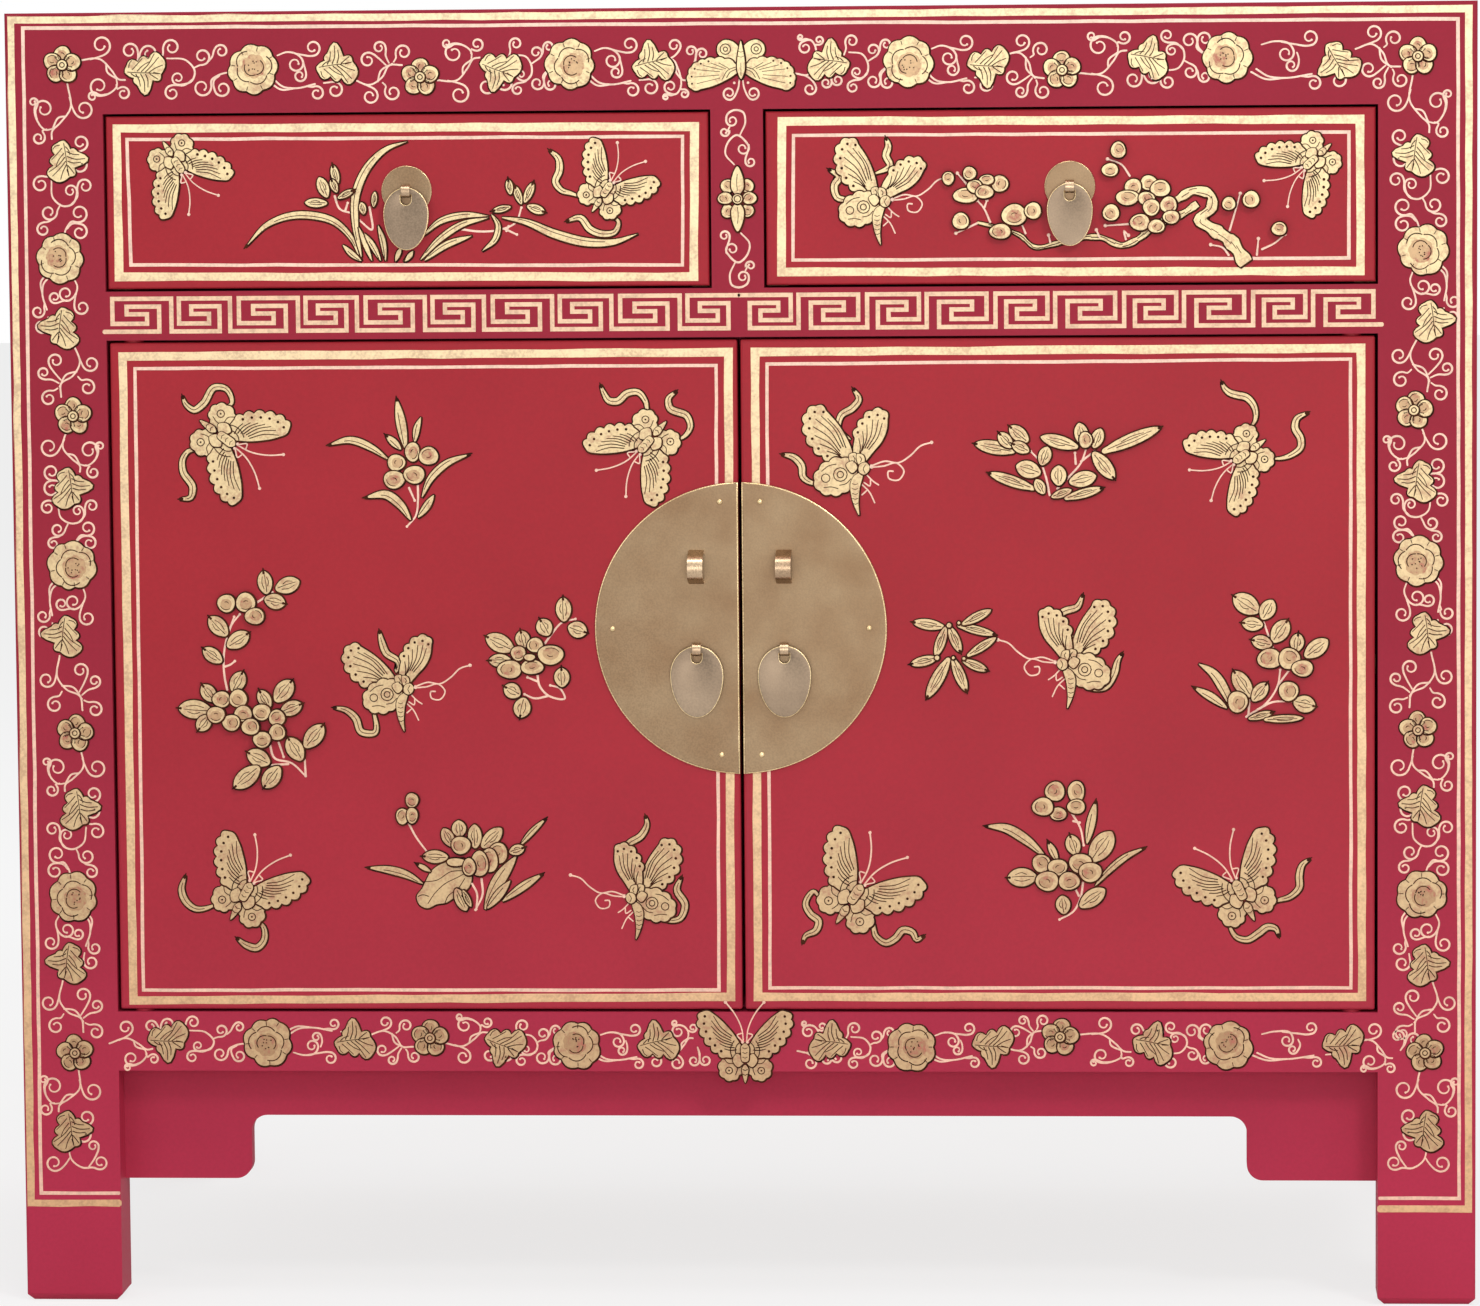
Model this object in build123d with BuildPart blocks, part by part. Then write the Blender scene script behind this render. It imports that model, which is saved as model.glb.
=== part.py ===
from build123d import *
import math
import os

# Wedding cabinet: two drawers over two doors, in a frame of square posts and tenoned rails.
# X runs to the right, Y runs from the front to the back, Z is up, and the feet stand on Z = 0.

# --- Driving sizes, in millimetres ---------------------------------------------------------

# Case
width = 900.0
depth = 500.0
leg_height = 145.0
bottom_rail_height = 37.0
door_opening_height = 417.0
fret_rail_height = 30.0
drawer_opening_height = 109.0
top_rail_height = 62.0

# Frame timbers
post_width = 60.0
post_depth = 36.0
side_rail_thickness = 30.0
divider_width = 32.0
foot_chamfer = 4.0
arris_radius = 1.5

# Mortise and tenon joints
tenon_thickness = 10.0
tenon_length = 24.0
side_tenon_length = 18.0
tenon_shoulder = 6.0
stub_length = 9.0
stub_width = 20.0
joint_play = 0.1

# Panels and boards of the case
panel_tongue = 6.0
side_panel_thickness = 10.0
side_panel_set_in = 8.0
back_panel_thickness = 8.0
back_panel_set_in = 6.0
board_thickness = 14.0
board_tongue_thickness = 6.0
board_tongue_drop = 4.0
shelf_thickness = 12.0
shelf_height = 205.0
shelf_housing = 4.0
shelf_set_back = 8.0

# Apron under the front bottom rail
apron_height = 31.0
apron_thickness = 12.0
apron_set_back = 20.0
apron_housing = 5.0
apron_tongue_thickness = 5.0
apron_tongue_height = 4.0
spandrel_drop = 40.0
spandrel_width = 80.0
spandrel_radius = 10.0

# Drawer runners
runner_thickness = 18.0
runner_ledge = 20.0
runner_stub_edge = 4.0
guide_height = 25.0
guide_play = 0.5
slide_gap = 0.3

# Drawers
drawer_gap = 1.5
drawer_recess = 1.0
drawer_front_thickness = 20.0
drawer_side_thickness = 12.0
drawer_side_height = 98.0
drawer_back_thickness = 12.0
drawer_back_set_in = 6.0
drawer_back_housing = 4.0
drawer_bottom_thickness = 6.0
drawer_bottom_lift = 8.0
drawer_bottom_groove = 5.0
dovetail_count = 3
dovetail_length = 12.0
dovetail_width = 16.0
dovetail_flare = 2.0

# Doors
door_thickness = 22.0
door_recess = 1.0
door_side_gap = 1.8
door_end_gap = 1.5
door_middle_gap = 2.0
door_stile_width = 48.0
door_rail_height = 48.0
door_tenon_thickness = 7.0
door_tenon_length = 30.0
door_tenon_shoulder = 9.0
door_panel_thickness = 14.0
door_panel_tongue = 8.0
door_panel_tongue_thickness = 6.0
door_panel_tongue_depth = 4.0
edge_radius = 1.5

# Wooden pivots of the doors, and the stops that the doors close against
pivot_radius = 6.0
pivot_length = 10.0
pivot_inset = 14.0
pivot_setback = 7.7
pivot_play = 0.05
pivot_end_room = 0.3
stop_height = 6.0
stop_gap = 0.3
stop_clear_of_pivot = 18.0

# Round brass lock plate, in two halves
lock_plate_radius = 90.0
lock_plate_thickness = 1.6
lock_plate_bevel = 0.9
lock_plate_height = 238.0
fitting_offset = 27.0

# Nails of the lock plate
nail_circle_radius = 79.0
nail_angle = 9.0
nail_head_radius = 1.7
nail_head_height = 0.9
nail_head_taper = 40.0
nail_head_facets = 12
nail_shank_width = 1.5
nail_shank_length = 9.0

# Lock loops: brass straps that the bar of a padlock passes through
loop_rise = 38.0
loop_height = 21.0
loop_width = 9.4
loop_thickness = 2.0
loop_reach = 16.0
loop_shoulder_reach = 9.0
loop_shoulder_drop = 2.6

# Eyes that carry the pull tags
eye_bore_radius = 2.9
eye_band_thickness = 1.0
eye_band_width = 5.2
eye_shank_thickness = 2.0
clinch_length = 8.0
clinch_thickness = 1.0
shank_play = 0.1

# Pull tags
tag_thickness = 1.8
tag_bar_height = 4.6
tag_hole_radius = 3.2
tag_hole_straight = 3.0
tag_bevel = 0.35
door_tag_width = 33.0
door_tag_length = 44.5
door_tag_shoulder = 18.0
door_tag_drop = 12.6
drawer_tag_width = 28.0
drawer_tag_length = 38.5
drawer_tag_shoulder = 16.0
drawer_eye_height = 60.6

# Round plates behind the drawer pulls
pull_plate_radius = 15.5
pull_plate_thickness = 1.2

# --- Places worked out from the driving sizes ------------------------------------------------

half_width = width / 2
inner_half = half_width - post_width
loop_projection = loop_reach + lock_plate_thickness - door_recess
front = (loop_projection - depth) / 2
back = front + depth
inner_front = front + post_depth
inner_back = back - post_depth

floor_z = leg_height + bottom_rail_height
door_top_z = floor_z + door_opening_height
drawer_floor_z = door_top_z + fret_rail_height
drawer_top_z = drawer_floor_z + drawer_opening_height
height = drawer_top_z + top_rail_height

front_y = (front, inner_front)
back_y = (inner_back, back)
bottom_z = (leg_height, floor_z)
fret_z = (door_top_z, drawer_floor_z)
top_z = (drawer_top_z, height)

ledge_z = (drawer_floor_z - runner_thickness, drawer_floor_z)

back_panel_y = (back - back_panel_set_in - back_panel_thickness, back - back_panel_set_in)
middle_rail_y = (inner_back, back_panel_y[0] - joint_play)
side_panel_inner = half_width - side_panel_set_in - side_panel_thickness
side_rail_inner = half_width - side_rail_thickness

door_y = (front + door_recess, front + door_recess + door_thickness)
door_z = (floor_z + door_end_gap, door_top_z - door_end_gap)
door_outer = inner_half - door_side_gap
door_inner = door_middle_gap / 2
pivot_x = door_outer - pivot_inset
pivot_y = door_y[0] + pivot_setback
lock_plate_z = floor_z + lock_plate_height
lock_plate_front = door_y[0] - lock_plate_thickness
loop_z = lock_plate_z + loop_rise
door_eye_z = lock_plate_z - door_tag_drop
eye_radius = eye_bore_radius + eye_band_thickness

drawer_y = (front + drawer_recess, back_panel_y[0] - slide_gap)
drawer_front_back = drawer_y[0] + drawer_front_thickness
drawer_side_z = (drawer_floor_z + slide_gap, drawer_floor_z + slide_gap + drawer_side_height)
drawer_bottom_z = drawer_side_z[0] + drawer_bottom_lift
drawer_eye_z = drawer_floor_z + drawer_eye_height
pull_plate_front = drawer_y[0] - pull_plate_thickness
drawer_middle = (inner_half + divider_width / 2) / 2

SIDES = {"left": -1, "right": 1}
SAME_PLACE = 1e-4

os.makedirs("parts", exist_ok=True)


# --- Helpers ---------------------------------------------------------------------------------


def save(piece, name):
    """Label a finished piece and write it."""
    piece.part.label = name
    export_step(piece.part, f"parts/{name}.step")


def centred(limits, size):
    """Limits of a given size about the middle of other limits."""
    middle = (limits[0] + limits[1]) / 2
    return (middle - size / 2, middle + size / 2)


def across(half):
    """Limits the same distance either side of the middle of the cabinet."""
    return (-half, half)


def on_side(side, first, second):
    """Limits on X, given as distances from the middle of the cabinet, on the left or right."""
    return (side * first, side * second)


def grown(limits, play):
    """Limits moved apart by a play at each end."""
    return (min(limits) - play, max(limits) + play)


def squared(x, y, z, mode=Mode.ADD):
    """A squared piece between limits on each axis, given in either order."""
    section = Plane((sum(x) / 2, sum(y) / 2, min(z)))
    with BuildSketch(section) as end_grain:
        Rectangle(abs(x[1] - x[0]), abs(y[1] - y[0]))
    extrude(end_grain.sketch, amount=abs(z[1] - z[0]), mode=mode)


def pocket(x, y, z, play=joint_play):
    """A mortise, groove or housing: the limits of what goes in it, with play all round."""
    squared(grown(x, play), grown(y, play), grown(z, play), mode=Mode.SUBTRACT)


def facing(y):
    """The upright plane at a distance y, seen from the front: x to the right, y up."""
    return Plane.XZ.offset(-y)


def edges_in(part, **planes):
    """Straight edges that lie in each plane given, such as x=10 or z=0."""

    def lies_in_all(edge):
        return all(
            abs(getattr(corner, name.upper()) - value) < SAME_PLACE
            for corner in edge.vertices()
            for name, value in planes.items()
        )

    return part.edges().filter_by(GeomType.LINE).filter_by(lies_in_all)


# --- Joints shared by the pieces of the case ---------------------------------------------------


def rail_tenon(side, rail_y, rail_z):
    """Tenon of a rail that runs from left to right, at one of its ends."""
    return (
        on_side(side, inner_half, inner_half + tenon_length),
        centred(rail_y, tenon_thickness),
        grown(rail_z, -tenon_shoulder),
    )


def side_rail_tenons(side, rail_z):
    """The two tenons of a rail that runs from front to back."""
    x = centred(on_side(side, side_rail_inner, half_width), tenon_thickness)
    z = grown(rail_z, -tenon_shoulder)
    yield x, (inner_front - side_tenon_length, inner_front), z
    yield x, (inner_back, inner_back + side_tenon_length), z


def side_panel_limits(side):
    """A side panel, with the tongues that sit in the grooves round it."""
    return (
        on_side(side, side_panel_inner, side_panel_inner + side_panel_thickness),
        (inner_front - panel_tongue, inner_back + panel_tongue),
        (floor_z - panel_tongue, drawer_top_z + panel_tongue),
    )


def back_panel_limits():
    """The back panel, with the tongues that sit in the grooves round it."""
    return (
        across(inner_half + panel_tongue),
        back_panel_y,
        (floor_z - panel_tongue, drawer_top_z + panel_tongue),
    )


def board_tongue(surface_z):
    """Tongue round the edge of a board whose upper face is flush with its frame."""
    upper = surface_z - board_tongue_drop
    return (
        across(side_rail_inner + panel_tongue),
        (inner_front - panel_tongue, inner_back + panel_tongue),
        (upper - board_tongue_thickness, upper),
    )


def side_runner_stubs(side):
    """Stub tenons of a side runner, in the front and back posts."""
    outer = side_panel_inner - runner_stub_edge
    x = on_side(side, outer - tenon_thickness, outer)
    z = centred(ledge_z, tenon_thickness)
    yield x, (inner_front - stub_length, inner_front), z
    yield x, (inner_back, inner_back + stub_length), z


def centre_runner_stubs():
    """Stub tenons of the centre runner, in the fret rail and the back middle rail."""
    x = across(stub_width / 2)
    z = centred(ledge_z, tenon_thickness)
    yield x, (inner_front - stub_length, inner_front), z
    yield x, (inner_back, inner_back + stub_length), z


def divider_stubs():
    """Stub tenons at the foot and head of the drawer divider."""
    x = across(stub_width / 2)
    y = centred(front_y, tenon_thickness)
    yield x, y, (drawer_floor_z - stub_length, drawer_floor_z)
    yield x, y, (drawer_top_z, drawer_top_z + stub_length)


def apron_tongue():
    """Tongue along the top of the apron, in a groove under the front bottom rail."""
    y = centred((front + apron_set_back, front + apron_set_back + apron_thickness), apron_tongue_thickness)
    return across(inner_half), y, (leg_height, leg_height + apron_tongue_height)


# --- Posts -------------------------------------------------------------------------------------

rails_at = {"front": (front_y, (bottom_z, fret_z, top_z)), "back": (back_y, (bottom_z, top_z))}

for end, (post_y, rail_levels) in rails_at.items():
    outer_y = front if end == "front" else back
    for hand, side in SIDES.items():
        with BuildPart() as post:
            squared(on_side(side, inner_half, half_width), post_y, (0, height))
            chamfer(post.faces().sort_by(Axis.Z)[0].edges(), foot_chamfer)
            fillet(edges_in(post.part, x=side * half_width, y=outer_y), arris_radius)
            for rail_z in rail_levels:
                pocket(*rail_tenon(side, post_y, rail_z))
            for rail_z in (bottom_z, top_z):
                for tenon in side_rail_tenons(side, rail_z):
                    pocket(*tenon)
            for surface_z in (floor_z, height):
                pocket(*board_tongue(surface_z))
            for stub in side_runner_stubs(side):
                pocket(*stub)
            pocket(*side_panel_limits(side))
            if end == "front":
                pocket(
                    on_side(side, inner_half, inner_half + apron_housing),
                    (front + apron_set_back, front + apron_set_back + apron_thickness),
                    (leg_height - apron_height - spandrel_drop, leg_height),
                )
            else:
                pocket(*rail_tenon(side, middle_rail_y, fret_z))
                pocket(*back_panel_limits())
        save(post, f"{end}_{hand}_post")


# --- Rails from left to right ------------------------------------------------------------------


def cross_rail(rail_y, rail_z):
    """A rail between two posts, with a tenon at each end."""
    squared(across(inner_half), rail_y, rail_z)
    for side in SIDES.values():
        squared(*rail_tenon(side, rail_y, rail_z))


def door_stop(z):
    """A lip behind the doors, between their pivots."""
    squared(across(pivot_x - stop_clear_of_pivot), (door_y[1] + stop_gap, inner_front), z)


def pivot_sockets(mouth_z, end_z):
    """Round sockets that the pivots of both doors turn in."""
    with BuildSketch(Plane.XY.offset(mouth_z)) as mouths:
        with Locations((-pivot_x, pivot_y), (pivot_x, pivot_y)):
            Circle(pivot_radius + pivot_play)
    extrude(mouths.sketch, amount=end_z - mouth_z, mode=Mode.SUBTRACT)


socket_depth = pivot_length - door_end_gap + pivot_end_room

with BuildPart() as front_top_rail:
    cross_rail(front_y, top_z)
    pocket(*board_tongue(height))
    for stub in divider_stubs():
        pocket(*stub)
save(front_top_rail, "front_top_rail")

with BuildPart() as back_top_rail:
    cross_rail(back_y, top_z)
    pocket(*board_tongue(height))
    pocket(*back_panel_limits())
save(back_top_rail, "back_top_rail")

with BuildPart() as fret_rail:
    cross_rail(front_y, fret_z)
    door_stop((door_top_z - stop_height, door_top_z))
    pivot_sockets(door_top_z, door_top_z + socket_depth)
    for stub in divider_stubs():
        pocket(*stub)
    for stub in centre_runner_stubs():
        pocket(*stub)
save(fret_rail, "fret_rail")

with BuildPart() as back_middle_rail:
    cross_rail(middle_rail_y, fret_z)
    for stub in centre_runner_stubs():
        pocket(*stub)
save(back_middle_rail, "back_middle_rail")

with BuildPart() as front_bottom_rail:
    cross_rail(front_y, bottom_z)
    door_stop((floor_z, floor_z + stop_height))
    pivot_sockets(floor_z, floor_z - socket_depth)
    pocket(*board_tongue(floor_z))
    pocket(*apron_tongue())
save(front_bottom_rail, "front_bottom_rail")

with BuildPart() as back_bottom_rail:
    cross_rail(back_y, bottom_z)
    pocket(*board_tongue(floor_z))
    pocket(*back_panel_limits())
save(back_bottom_rail, "back_bottom_rail")


# --- Rails from front to back --------------------------------------------------------------------

for level, rail_z, surface_z in (("top", top_z, height), ("bottom", bottom_z, floor_z)):
    for hand, side in SIDES.items():
        with BuildPart() as side_rail:
            squared(on_side(side, side_rail_inner, half_width), (inner_front, inner_back), rail_z)
            for tenon in side_rail_tenons(side, rail_z):
                squared(*tenon)
            pocket(*side_panel_limits(side))
            pocket(*board_tongue(surface_z))
        save(side_rail, f"{hand}_{level}_rail")


# --- Divider between the drawers -----------------------------------------------------------------

with BuildPart() as drawer_divider:
    squared(across(divider_width / 2), front_y, (drawer_floor_z, drawer_top_z))
    for stub in divider_stubs():
        squared(*stub)
save(drawer_divider, "drawer_divider")


# --- Panels, boards and shelf ----------------------------------------------------------------------

shelf_z = (floor_z + shelf_height, floor_z + shelf_height + shelf_thickness)
shelf_y = (inner_front + shelf_set_back, inner_back - joint_play)

for hand, side in SIDES.items():
    with BuildPart() as side_panel:
        squared(*side_panel_limits(side))
        housing_x = on_side(side, side_panel_inner - shelf_housing, side_panel_inner + shelf_housing)
        pocket(housing_x, shelf_y, shelf_z)
    save(side_panel, f"{hand}_side_panel")

with BuildPart() as back_panel:
    squared(*back_panel_limits())
save(back_panel, "back_panel")

for name, surface_z in (("top_panel", height), ("bottom_board", floor_z)):
    with BuildPart() as board:
        squared(
            across(side_rail_inner - joint_play),
            grown((inner_front, inner_back), -joint_play),
            (surface_z - board_thickness, surface_z),
        )
        squared(*board_tongue(surface_z))
    save(board, name)

with BuildPart() as shelf:
    squared(across(side_panel_inner + shelf_housing), shelf_y, shelf_z)
    squared(across(inner_half - joint_play), (shelf_y[1], back_panel_y[0] - joint_play), shelf_z)
save(shelf, "shelf")


# --- Apron ---------------------------------------------------------------------------------------

with BuildPart() as front_apron:
    with BuildSketch(facing(front + apron_set_back + apron_thickness)) as outline:
        with Locations((0, leg_height)):
            Rectangle(
                2 * (inner_half + apron_housing),
                apron_height + spandrel_drop,
                align=(Align.CENTER, Align.MAX),
            )
        with Locations((0, leg_height - apron_height)):
            Rectangle(
                2 * (inner_half - spandrel_width),
                spandrel_drop,
                align=(Align.CENTER, Align.MAX),
                mode=Mode.SUBTRACT,
            )
        spandrel_corners = outline.vertices().filter_by(
            lambda corner: abs(abs(corner.X) - (inner_half - spandrel_width)) < SAME_PLACE
        )
        fillet(spandrel_corners, spandrel_radius)
    extrude(amount=apron_thickness)
    squared(*apron_tongue())
save(front_apron, "front_apron")


# --- Drawer runners --------------------------------------------------------------------------------

runner_y = (inner_front, inner_back)
guide_z = (drawer_floor_z, drawer_floor_z + guide_height)
guide_x = inner_half - drawer_gap + guide_play

with BuildPart() as drawer_side_runners:
    for side in SIDES.values():
        with BuildSketch(facing(inner_back)):
            with BuildLine():
                Polyline(
                    (side * side_panel_inner, ledge_z[0]),
                    (side * (inner_half - runner_ledge), ledge_z[0]),
                    (side * (inner_half - runner_ledge), ledge_z[1]),
                    (side * guide_x, ledge_z[1]),
                    (side * guide_x, guide_z[1]),
                    (side * side_panel_inner, guide_z[1]),
                    close=True,
                )
            make_face()
        extrude(amount=inner_back - inner_front)
        for stub in side_runner_stubs(side):
            squared(*stub)
save(drawer_side_runners, "drawer_side_runners")

with BuildPart() as drawer_centre_runner:
    squared(across(divider_width / 2 + runner_ledge), runner_y, ledge_z)
    squared(across(divider_width / 2 + drawer_gap - guide_play), runner_y, guide_z)
    for stub in centre_runner_stubs():
        squared(*stub)
save(drawer_centre_runner, "drawer_centre_runner")


# --- Fittings shared by drawers and doors ------------------------------------------------------------


def eye(x, middle_z, plate_front, wood_back):
    """A ring of brass strap in front of its plate, with a shank clinched behind the wood."""
    ring_y = plate_front - eye_radius
    with BuildSketch(Plane.YZ.offset(x - eye_band_width / 2)) as strap:
        with Locations((ring_y, middle_z)):
            Circle(eye_radius)
            Rectangle(wood_back - ring_y, eye_shank_thickness, align=(Align.MIN, Align.CENTER))
        with Locations((wood_back, middle_z)):
            Rectangle(clinch_thickness, 2 * clinch_length, align=(Align.MIN, Align.CENTER))
        with Locations((ring_y, middle_z)):
            Circle(eye_bore_radius, mode=Mode.SUBTRACT)
    extrude(strap.sketch, amount=eye_band_width)


def tag(x, ring_y, eye_z, tag_width, tag_length, shoulder):
    """An egg-shaped plate that hangs by the bar over its hole."""
    top = eye_z + tag_bar_height / 2
    widest = top - shoulder
    with BuildSketch(facing(ring_y + tag_thickness / 2)) as egg:
        with BuildLine():
            middle = (x, widest)
            EllipticalCenterArc(middle, tag_width / 2, shoulder, start_angle=0, arc_size=180)
            EllipticalCenterArc(middle, tag_width / 2, tag_length - shoulder, start_angle=180, arc_size=180)
        make_face()
    plate = extrude(egg.sketch, amount=tag_thickness)
    chamfer(plate.faces().sort_by(Axis.Y)[0].edges(), tag_bevel)
    hole_top = top - tag_bar_height
    with BuildSketch(facing(ring_y + tag_thickness / 2)) as hole:
        with Locations((x, hole_top)):
            Rectangle(2 * tag_hole_radius, tag_hole_straight, align=(Align.CENTER, Align.MAX))
        with Locations((x, hole_top - tag_hole_straight)):
            Circle(tag_hole_radius)
    extrude(hole.sketch, amount=tag_thickness, mode=Mode.SUBTRACT)


# --- Drawers -----------------------------------------------------------------------------------------


def dovetails(x, play, mode):
    """The tails at the front end of a drawer side, or the sockets that take them."""
    pitch = drawer_side_height / dovetail_count
    wide = dovetail_width / 2 + dovetail_flare + play
    narrow = dovetail_width / 2 + play
    with BuildSketch(Plane.YZ.offset(min(x))) as tails:
        for number in range(dovetail_count):
            middle = drawer_side_z[0] + pitch * (number + 0.5)
            with BuildLine():
                Polyline(
                    (drawer_front_back, middle - narrow),
                    (drawer_front_back - dovetail_length - play, middle - wide),
                    (drawer_front_back - dovetail_length - play, middle + wide),
                    (drawer_front_back, middle + narrow),
                    close=True,
                )
            make_face()
    extrude(tails.sketch, amount=abs(x[1] - x[0]), mode=mode)


for hand, side in SIDES.items():
    drawer_x = on_side(side, divider_width / 2 + drawer_gap, inner_half - drawer_gap)
    drawer_left, drawer_right = min(drawer_x), max(drawer_x)
    side_boards = {
        "left_side": (drawer_left, drawer_left + drawer_side_thickness),
        "right_side": (drawer_right - drawer_side_thickness, drawer_right),
    }
    inside_x = (drawer_left + drawer_side_thickness, drawer_right - drawer_side_thickness)
    back_board_y = (
        drawer_y[1] - drawer_back_set_in - drawer_back_thickness,
        drawer_y[1] - drawer_back_set_in,
    )
    back_board = (
        grown(inside_x, drawer_back_housing),
        back_board_y,
        (drawer_bottom_z + drawer_bottom_thickness, drawer_side_z[1]),
    )
    bottom_board = (
        grown(inside_x, drawer_bottom_groove),
        (drawer_front_back - drawer_bottom_groove, back_board_y[1]),
        (drawer_bottom_z, drawer_bottom_z + drawer_bottom_thickness),
    )
    pull_x = side * drawer_middle
    shank_x = centred((pull_x, pull_x), eye_band_width)
    shank_z = centred((drawer_eye_z, drawer_eye_z), eye_shank_thickness)

    with BuildPart() as drawer_front:
        drawer_front_z = grown((drawer_floor_z, drawer_top_z), -drawer_gap)
        squared(drawer_x, (drawer_y[0], drawer_front_back), drawer_front_z)
        fillet(drawer_front.faces().sort_by(Axis.Y)[0].edges(), edge_radius)
        for board_x in side_boards.values():
            dovetails(grown(board_x, joint_play), joint_play, Mode.SUBTRACT)
        pocket(*bottom_board)
        pocket(shank_x, (pull_plate_front, drawer_front_back), shank_z, play=shank_play)
    save(drawer_front, f"{hand}_drawer_front")

    for board_name, board_x in side_boards.items():
        with BuildPart() as drawer_side:
            squared(board_x, (drawer_front_back, drawer_y[1]), drawer_side_z)
            dovetails(board_x, 0, Mode.ADD)
            pocket(*back_board)
            pocket(*bottom_board)
        save(drawer_side, f"{hand}_drawer_{board_name}")

    with BuildPart() as drawer_back:
        squared(*back_board)
    save(drawer_back, f"{hand}_drawer_back")

    with BuildPart() as drawer_bottom:
        squared(*bottom_board)
    save(drawer_bottom, f"{hand}_drawer_bottom")

    with BuildPart() as pull_plate:
        with BuildSketch(facing(drawer_y[0])):
            with Locations((pull_x, drawer_eye_z)):
                Circle(pull_plate_radius)
        extrude(amount=pull_plate_thickness)
        pocket(shank_x, (pull_plate_front, drawer_front_back), shank_z, play=shank_play)
    save(pull_plate, f"{hand}_drawer_pull_plate")

    with BuildPart() as drawer_eye:
        eye(pull_x, drawer_eye_z, pull_plate_front, drawer_front_back)
    save(drawer_eye, f"{hand}_drawer_pull_eye")

    with BuildPart() as drawer_tag:
        tag(
            pull_x,
            pull_plate_front - eye_radius,
            drawer_eye_z,
            drawer_tag_width,
            drawer_tag_length,
            drawer_tag_shoulder,
        )
    save(drawer_tag, f"{hand}_drawer_pull_tag")


# --- Doors -------------------------------------------------------------------------------------------

stile_inner = door_outer - door_stile_width
meeting_outer = door_inner + door_stile_width
panel_z = grown(door_z, -door_rail_height)
panel_tongue_y = (
    door_y[0] + door_panel_tongue_depth,
    door_y[0] + door_panel_tongue_depth + door_panel_tongue_thickness,
)
door_rail_levels = {"top": (panel_z[1], door_z[1]), "bottom": (door_z[0], panel_z[0])}


def door_rail_tenons(side, rail_z):
    """The tenons of a door rail, in the hinge stile and in the meeting stile."""
    y = centred(door_y, door_tenon_thickness)
    z = grown(rail_z, -door_tenon_shoulder)
    yield on_side(side, stile_inner, stile_inner + door_tenon_length), y, z
    yield on_side(side, meeting_outer - door_tenon_length, meeting_outer), y, z


def door_panel_tongue_limits(side):
    """The door panel out to the edge of its tongues."""
    x = on_side(side, meeting_outer - door_panel_tongue, stile_inner + door_panel_tongue)
    return x, panel_tongue_y, grown(panel_z, door_panel_tongue)


def nail_places(side):
    """Centres of the nails in one half of the lock plate: near its ends, and at its side."""
    for angle in (nail_angle, 90, 180 - nail_angle):
        turn = math.radians(angle)
        yield side * nail_circle_radius * math.sin(turn), lock_plate_z + nail_circle_radius * math.cos(turn)


def nail_shank(place):
    """The square shank of a nail."""
    x, z = place
    return (
        centred((x, x), nail_shank_width),
        (lock_plate_front, lock_plate_front + nail_shank_length),
        centred((z, z), nail_shank_width),
    )


def loop_legs():
    """Heights of the two legs of a lock loop."""
    leg_middle = loop_height / 2 - loop_thickness / 2
    yield centred((loop_z + leg_middle, loop_z + leg_middle), loop_thickness)
    yield centred((loop_z - leg_middle, loop_z - leg_middle), loop_thickness)


def fitting_holes(side):
    """Every hole that the lock loop, the eye and the nails need in a plate or board of a door."""
    middle = (side * fitting_offset, side * fitting_offset)
    through = (lock_plate_front, door_y[1])
    for leg_z in loop_legs():
        pocket(centred(middle, loop_width), through, leg_z, play=shank_play)
    shank_z = centred((door_eye_z, door_eye_z), eye_shank_thickness)
    pocket(centred(middle, eye_band_width), through, shank_z, play=shank_play)
    for place in nail_places(side):
        pocket(*nail_shank(place), play=shank_play)


def loop_outline(inset, mode):
    """Outline of a lock loop in front of its plate, drawn inside the strap's outer face."""
    root = loop_height / 2 - inset
    shoulder = root - loop_shoulder_drop
    shoulder_y = lock_plate_front - loop_shoulder_reach
    with BuildLine() as outline:
        Polyline(
            (shoulder_y, loop_z - shoulder),
            (lock_plate_front, loop_z - root),
            (lock_plate_front, loop_z + root),
            (shoulder_y, loop_z + shoulder),
        )
        ThreePointArc(
            (shoulder_y, loop_z + shoulder),
            (lock_plate_front - loop_reach + inset, loop_z),
            (shoulder_y, loop_z - shoulder),
        )
    make_face(outline.edges(), mode=mode)


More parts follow.
